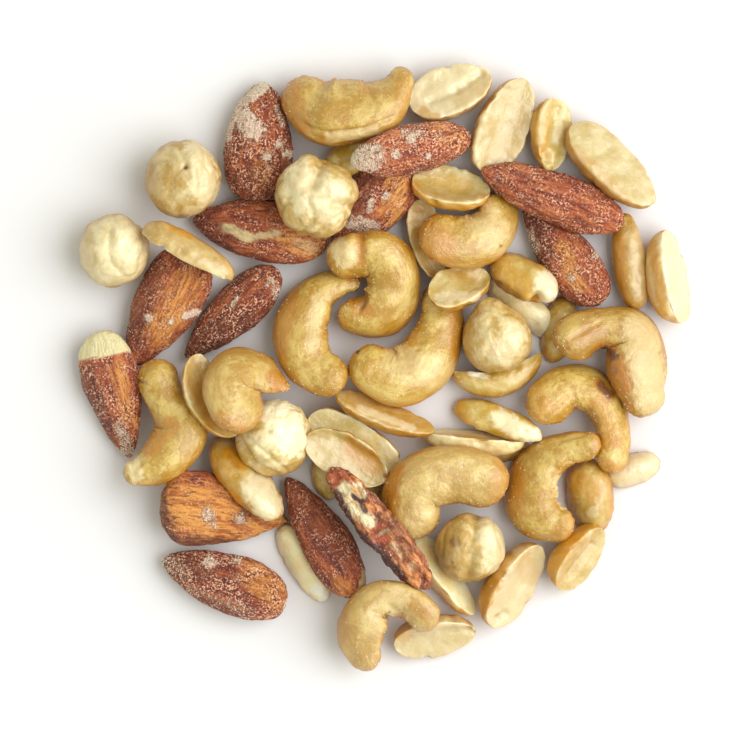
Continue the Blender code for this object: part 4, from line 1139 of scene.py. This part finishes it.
def almond_material():
    material, nodes, shader, own = nut_material(
        "almond skin", Roughness=0.5, Specular_IOR_Level=0.45, Subsurface_Weight=0.0, Coat_Weight=0.06,
        Coat_Roughness=0.3)
    streaks = nodes.noise(nodes.vector("MULTIPLY", own, (0.16, 1.0, 1.0)), 1.1, 3.0, 0.6, 0.35)
    # Painted shade in the furrows and lighter ridges, taken from the relief.
    ridges = nodes.ranged(nodes.attribute("relief"), -0.28, 0.24, -0.12, 0.10, kind="LINEAR")
    ribs = nodes.plus(streaks, ridges)
    colour = nodes.mix(nodes.ranged(ribs, 0.32, 0.52), tint(124, 50, 32), tint(170, 84, 44))
    colour = nodes.mix(nodes.ranged(ribs, 0.50, 0.72), colour, tint(200, 116, 62))
    warm_colour = nodes.mix(nodes.ranged(ribs, 0.34, 0.62), tint(170, 92, 36), tint(224, 152, 72))
    bare = nodes.attribute("pale")
    colour = nodes.group(MARKED, Colour=colour, Flank=tint(140, 62, 40), Flank_share=0.6, Warm=warm_colour,
                         Pale=tint(232, 212, 156), Dark=tint(84, 36, 28), Tone_step=0.3)
    skin = nodes.maths("SUBTRACT", 1.0, bare)

    veins = nodes.noise(nodes.vector("MULTIPLY", own, (0.2, 1.0, 1.0)), 1.9, 2.0, 0.6, 0.2)
    furrows = nodes.times(nodes.ranged(veins, 0.34, 0.45, 0.65, 0.0), skin)
    colour = nodes.mix(furrows, colour, tint(92, 38, 26))
    grains = nodes.noise(own, 2.6, 3.0, 0.75)
    clumps = nodes.ranged(nodes.noise(own, 0.75, 2.0, 0.6), 0.36, 0.58, 0.45, 1.3)
    grit = nodes.times(nodes.times(nodes.attribute("grit"), clumps), skin)
    pits = nodes.times(nodes.ranged(grains, 0.40, 0.46, 1.4, 0.0), grit, clamp=True)
    colour = nodes.mix(pits, colour, tint(70, 26, 24))
    frost = nodes.times(nodes.ranged(grains, 0.53, 0.59, 0.0, 1.9), grit, clamp=True)
    colour = nodes.mix(frost, colour, tint(242, 190, 156))

    powder_amount = nodes.attribute("powder")
    film = nodes.ranged(powder_amount, 0.0, 1.0, 0.0, 0.4)
    colour = nodes.mix(film, colour, tint(208, 158, 132))
    crumbs = nodes.group(CRUMBLY, Place=own, Amount=powder_amount)
    crumb_colour = nodes.mix(nodes.ranged(grains, 0.38, 0.64), tint(214, 172, 146), tint(250, 230, 208))
    colour = nodes.mix(nodes.times(crumbs, 0.9), colour, crumb_colour)
    nodes.join(colour, shader.inputs["Base Color"])

    height = nodes.plus(nodes.times(grains, 0.9), nodes.times(veins, 0.8))
    height = nodes.plus(height, streaks)
    height = nodes.plus(height, nodes.times(crumbs, 0.7))
    bumped(nodes, shader, height, distance=0.00045)
    return material


def hazelnut_material():
    material, nodes, shader, own = nut_material(
        "blanched hazelnut", Roughness=0.45, Specular_IOR_Level=0.9, Subsurface_Weight=0.35,
        Coat_Weight=0.25, Coat_Roughness=0.25)
    clouds = nodes.noise(own, 0.35, 3.0, 0.5)
    colour = nodes.mix(nodes.ranged(clouds, 0.38, 0.62), tint(198, 168, 86), tint(240, 226, 176))
    # Painted shade where the relief dips.
    hollow = nodes.ranged(nodes.attribute("relief"), -0.35, 0.05, 1.0, 0.0)
    colour = nodes.mix(nodes.times(hollow, 0.6), colour, tint(194, 164, 84))
    fibres = nodes.noise(nodes.vector("MULTIPLY", own, (0.35, 1.0, 1.0)), 1.5, 3.0, 0.6, 0.3)
    colour = nodes.mix(nodes.ranged(fibres, 0.32, 0.46, 0.25, 0.0), colour, tint(184, 148, 76))
    colour = nodes.mix(nodes.ranged(fibres, 0.54, 0.66, 0.0, 0.3), colour, tint(252, 242, 208))
    colour = nodes.group(MARKED, Colour=colour, Flank=tint(184, 138, 50), Flank_share=0.9,
                         Warm=tint(188, 148, 66), Pale=tint(246, 236, 196), Dark=tint(130, 84, 40),
                         Tone_step=0.2)
    nodes.join(colour, shader.inputs["Base Color"])
    surface = nodes.group(FINE_SURFACE, Place=own, Grain_size=0.5, Wrinkle_size=1.6, Grain_share=0.15)
    bumped(nodes, shader, surface, distance=0.0006, strength=0.7)
    return material


def peanut_material():
    material, nodes, shader, own = nut_material(
        "blanched peanut", Roughness=0.42, Specular_IOR_Level=1.0, Subsurface_Weight=0.45,
        Subsurface_Scale=0.002, Coat_Weight=0.3, Coat_Roughness=0.2)
    clouds = nodes.noise(own, 0.35, 3.0, 0.5)
    face = nodes.mix(nodes.ranged(clouds, 0.36, 0.64), tint(198, 178, 104), tint(222, 211, 164))
    # Painted shade in the face's hollow.
    face = nodes.mix(nodes.times(nodes.attribute("hollow"), 0.5), face, tint(198, 168, 78))
    dome = nodes.mix(nodes.ranged(clouds, 0.36, 0.64), tint(184, 146, 40), tint(210, 186, 112))
    colour = nodes.mix(nodes.attribute("face"), dome, face)
    grain = nodes.noise(own, 1.8, 3.0, 0.6)
    colour = nodes.mix(nodes.ranged(grain, 0.34, 0.46, 0.15, 0.0), colour, tint(190, 148, 62))
    colour = nodes.mix(nodes.ranged(grain, 0.58, 0.70, 0.0, 0.3), colour, tint(250, 240, 204))
    colour = nodes.group(MARKED, Colour=colour, Flank=tint(188, 124, 0), Flank_share=1.0,
                         Warm=tint(208, 148, 20), Pale=tint(248, 240, 208), Dark=tint(150, 92, 26),
                         Tone_step=0.2)
    nodes.join(colour, shader.inputs["Base Color"])
    surface = nodes.group(FINE_SURFACE, Place=own, Grain_size=0.5, Wrinkle_size=1.5, Grain_share=0.1)
    bumped(nodes, shader, surface, distance=0.0005, strength=0.5)
    return material


def pecan_material():
    material, nodes, shader, own = nut_material(
        "pecan skin", Roughness=0.5, Specular_IOR_Level=0.6, Subsurface_Weight=0.0, Coat_Weight=0.12,
        Coat_Roughness=0.3)
    streaks = nodes.noise(nodes.vector("MULTIPLY", own, (0.4, 1.0, 1.0)), 0.9, 4.0, 0.6, 0.4)
    grains = nodes.noise(own, 2.0, 2.0, 0.65)
    colour = nodes.mix(nodes.ranged(streaks, 0.36, 0.62), tint(150, 72, 34), tint(224, 144, 80))
    # Painted shade: dark where the relief dips.
    hollow = nodes.ranged(nodes.attribute("relief"), -0.45, 0.0, 1.0, 0.0)
    colour = nodes.mix(nodes.times(hollow, 0.7), colour, tint(96, 42, 34))
    pale_colour = nodes.mix(nodes.ranged(streaks, 0.34, 0.52), tint(206, 160, 96), tint(246, 230, 186))
    colour = nodes.group(MARKED, Colour=colour, Flank=tint(104, 52, 40), Flank_share=0.6,
                         Warm=tint(176, 84, 50), Pale=pale_colour, Dark=tint(80, 44, 42), Tone_step=0.3)
    colour = nodes.mix(nodes.ranged(grains, 0.34, 0.46, 0.35, 0.0), colour, tint(84, 38, 30))
    colour = nodes.mix(nodes.ranged(grains, 0.56, 0.68, 0.0, 0.4), colour, tint(228, 178, 146))
    nodes.join(colour, shader.inputs["Base Color"])
    height = nodes.plus(grains, nodes.times(streaks, 1.5))
    bumped(nodes, shader, height, distance=0.00035)
    return material


def salt_material():
    return new_material("salt", Base_Color=tint(226, 206, 180), Roughness=0.25, Specular_IOR_Level=0.6,
                        Subsurface_Weight=0.3, Subsurface_Scale=0.0004)[0]


MATERIALS = {"cashew": cashew_material, "almond": almond_material, "hazelnut": hazelnut_material,
             "peanut": peanut_material, "pecan": pecan_material}


# ---- the surface the heap lies on, the light and the camera ----
FLOOR_HALF = 1.5                # metres, as are the lamp's place and size
FLOOR_COLOUR = (0.80, 0.80, 0.805, 1)
LAMP_PLACE = (0.62, 0.0, 0.72)
LAMP_SIZE = 1.05
LAMP_WATTS = 12.0
LAMP_COLOUR = (1.0, 1.0, 1.03)
SKY_COLOUR = (1.0, 0.995, 0.87, 1)
SKY_STRENGTH = 0.66
VIEW_MIDDLE = (-2.3, 0.1)       # the point of the layout that the camera looks down on
VIEW_WIDTH = 125.1
VIEW_LEVEL = 8.0                # the height at which the view has that width
CAMERA_RISE = 1500.0
CAMERA_REACH = 10.0             # metres
SENSOR = 36.0


def add_floor():
    mesh = bpy.data.meshes.new("floor")
    corners = [(x * FLOOR_HALF, y * FLOOR_HALF, 0) for x, y in ((-1, -1), (1, -1), (1, 1), (-1, 1))]
    mesh.from_pydata(corners, [], [(0, 1, 2, 3)])
    mesh.materials.append(new_material("white board", Base_Color=FLOOR_COLOUR, Roughness=0.8)[0])
    floor = bpy.data.objects.new("floor", mesh)
    bpy.context.scene.collection.objects.link(floor)


def add_light():
    """A large square lamp to the right of the heap, which it faces, and an even sky."""
    light = bpy.data.lights.new("key", "AREA")
    light.size = LAMP_SIZE
    light.energy = LAMP_WATTS
    light.color = LAMP_COLOUR
    lamp = bpy.data.objects.new("key", light)
    lamp.location = LAMP_PLACE
    lamp.rotation_euler = Vector(LAMP_PLACE).to_track_quat("Z", "Y").to_euler()
    bpy.context.scene.collection.objects.link(lamp)
    world = bpy.data.worlds.new("sky")
    world.use_nodes = True
    world.node_tree.nodes["Background"].inputs["Color"].default_value = SKY_COLOUR
    world.node_tree.nodes["Background"].inputs["Strength"].default_value = SKY_STRENGTH
    bpy.context.scene.world = world


def add_camera():
    """A camera high over the heap that looks straight down."""
    data = bpy.data.cameras.new("camera")
    data.sensor_width = SENSOR
    data.lens = SENSOR * CAMERA_RISE / VIEW_WIDTH
    data.clip_end = CAMERA_REACH
    camera = bpy.data.objects.new("camera", data)
    x, y = np.subtract(VIEW_MIDDLE, LAYOUT_MIDDLE) * MM
    camera.location = (x, y, (CAMERA_RISE + VIEW_LEVEL) * MM)
    bpy.context.scene.collection.objects.link(camera)
    bpy.context.scene.camera = camera
    bpy.context.scene.view_settings.view_transform = "Standard"


def main():
    laid = zip(PILE, lay(PILE))
    skins = [(nut["kind"],) + skin_of(index, nut, rest) for index, (nut, rest) in enumerate(laid)]
    for kind, make in MATERIALS.items():
        kind_piece(kind, skins, make())
    salt_piece(skins, salt_material())
    add_floor()
    add_light()
    add_camera()


main()
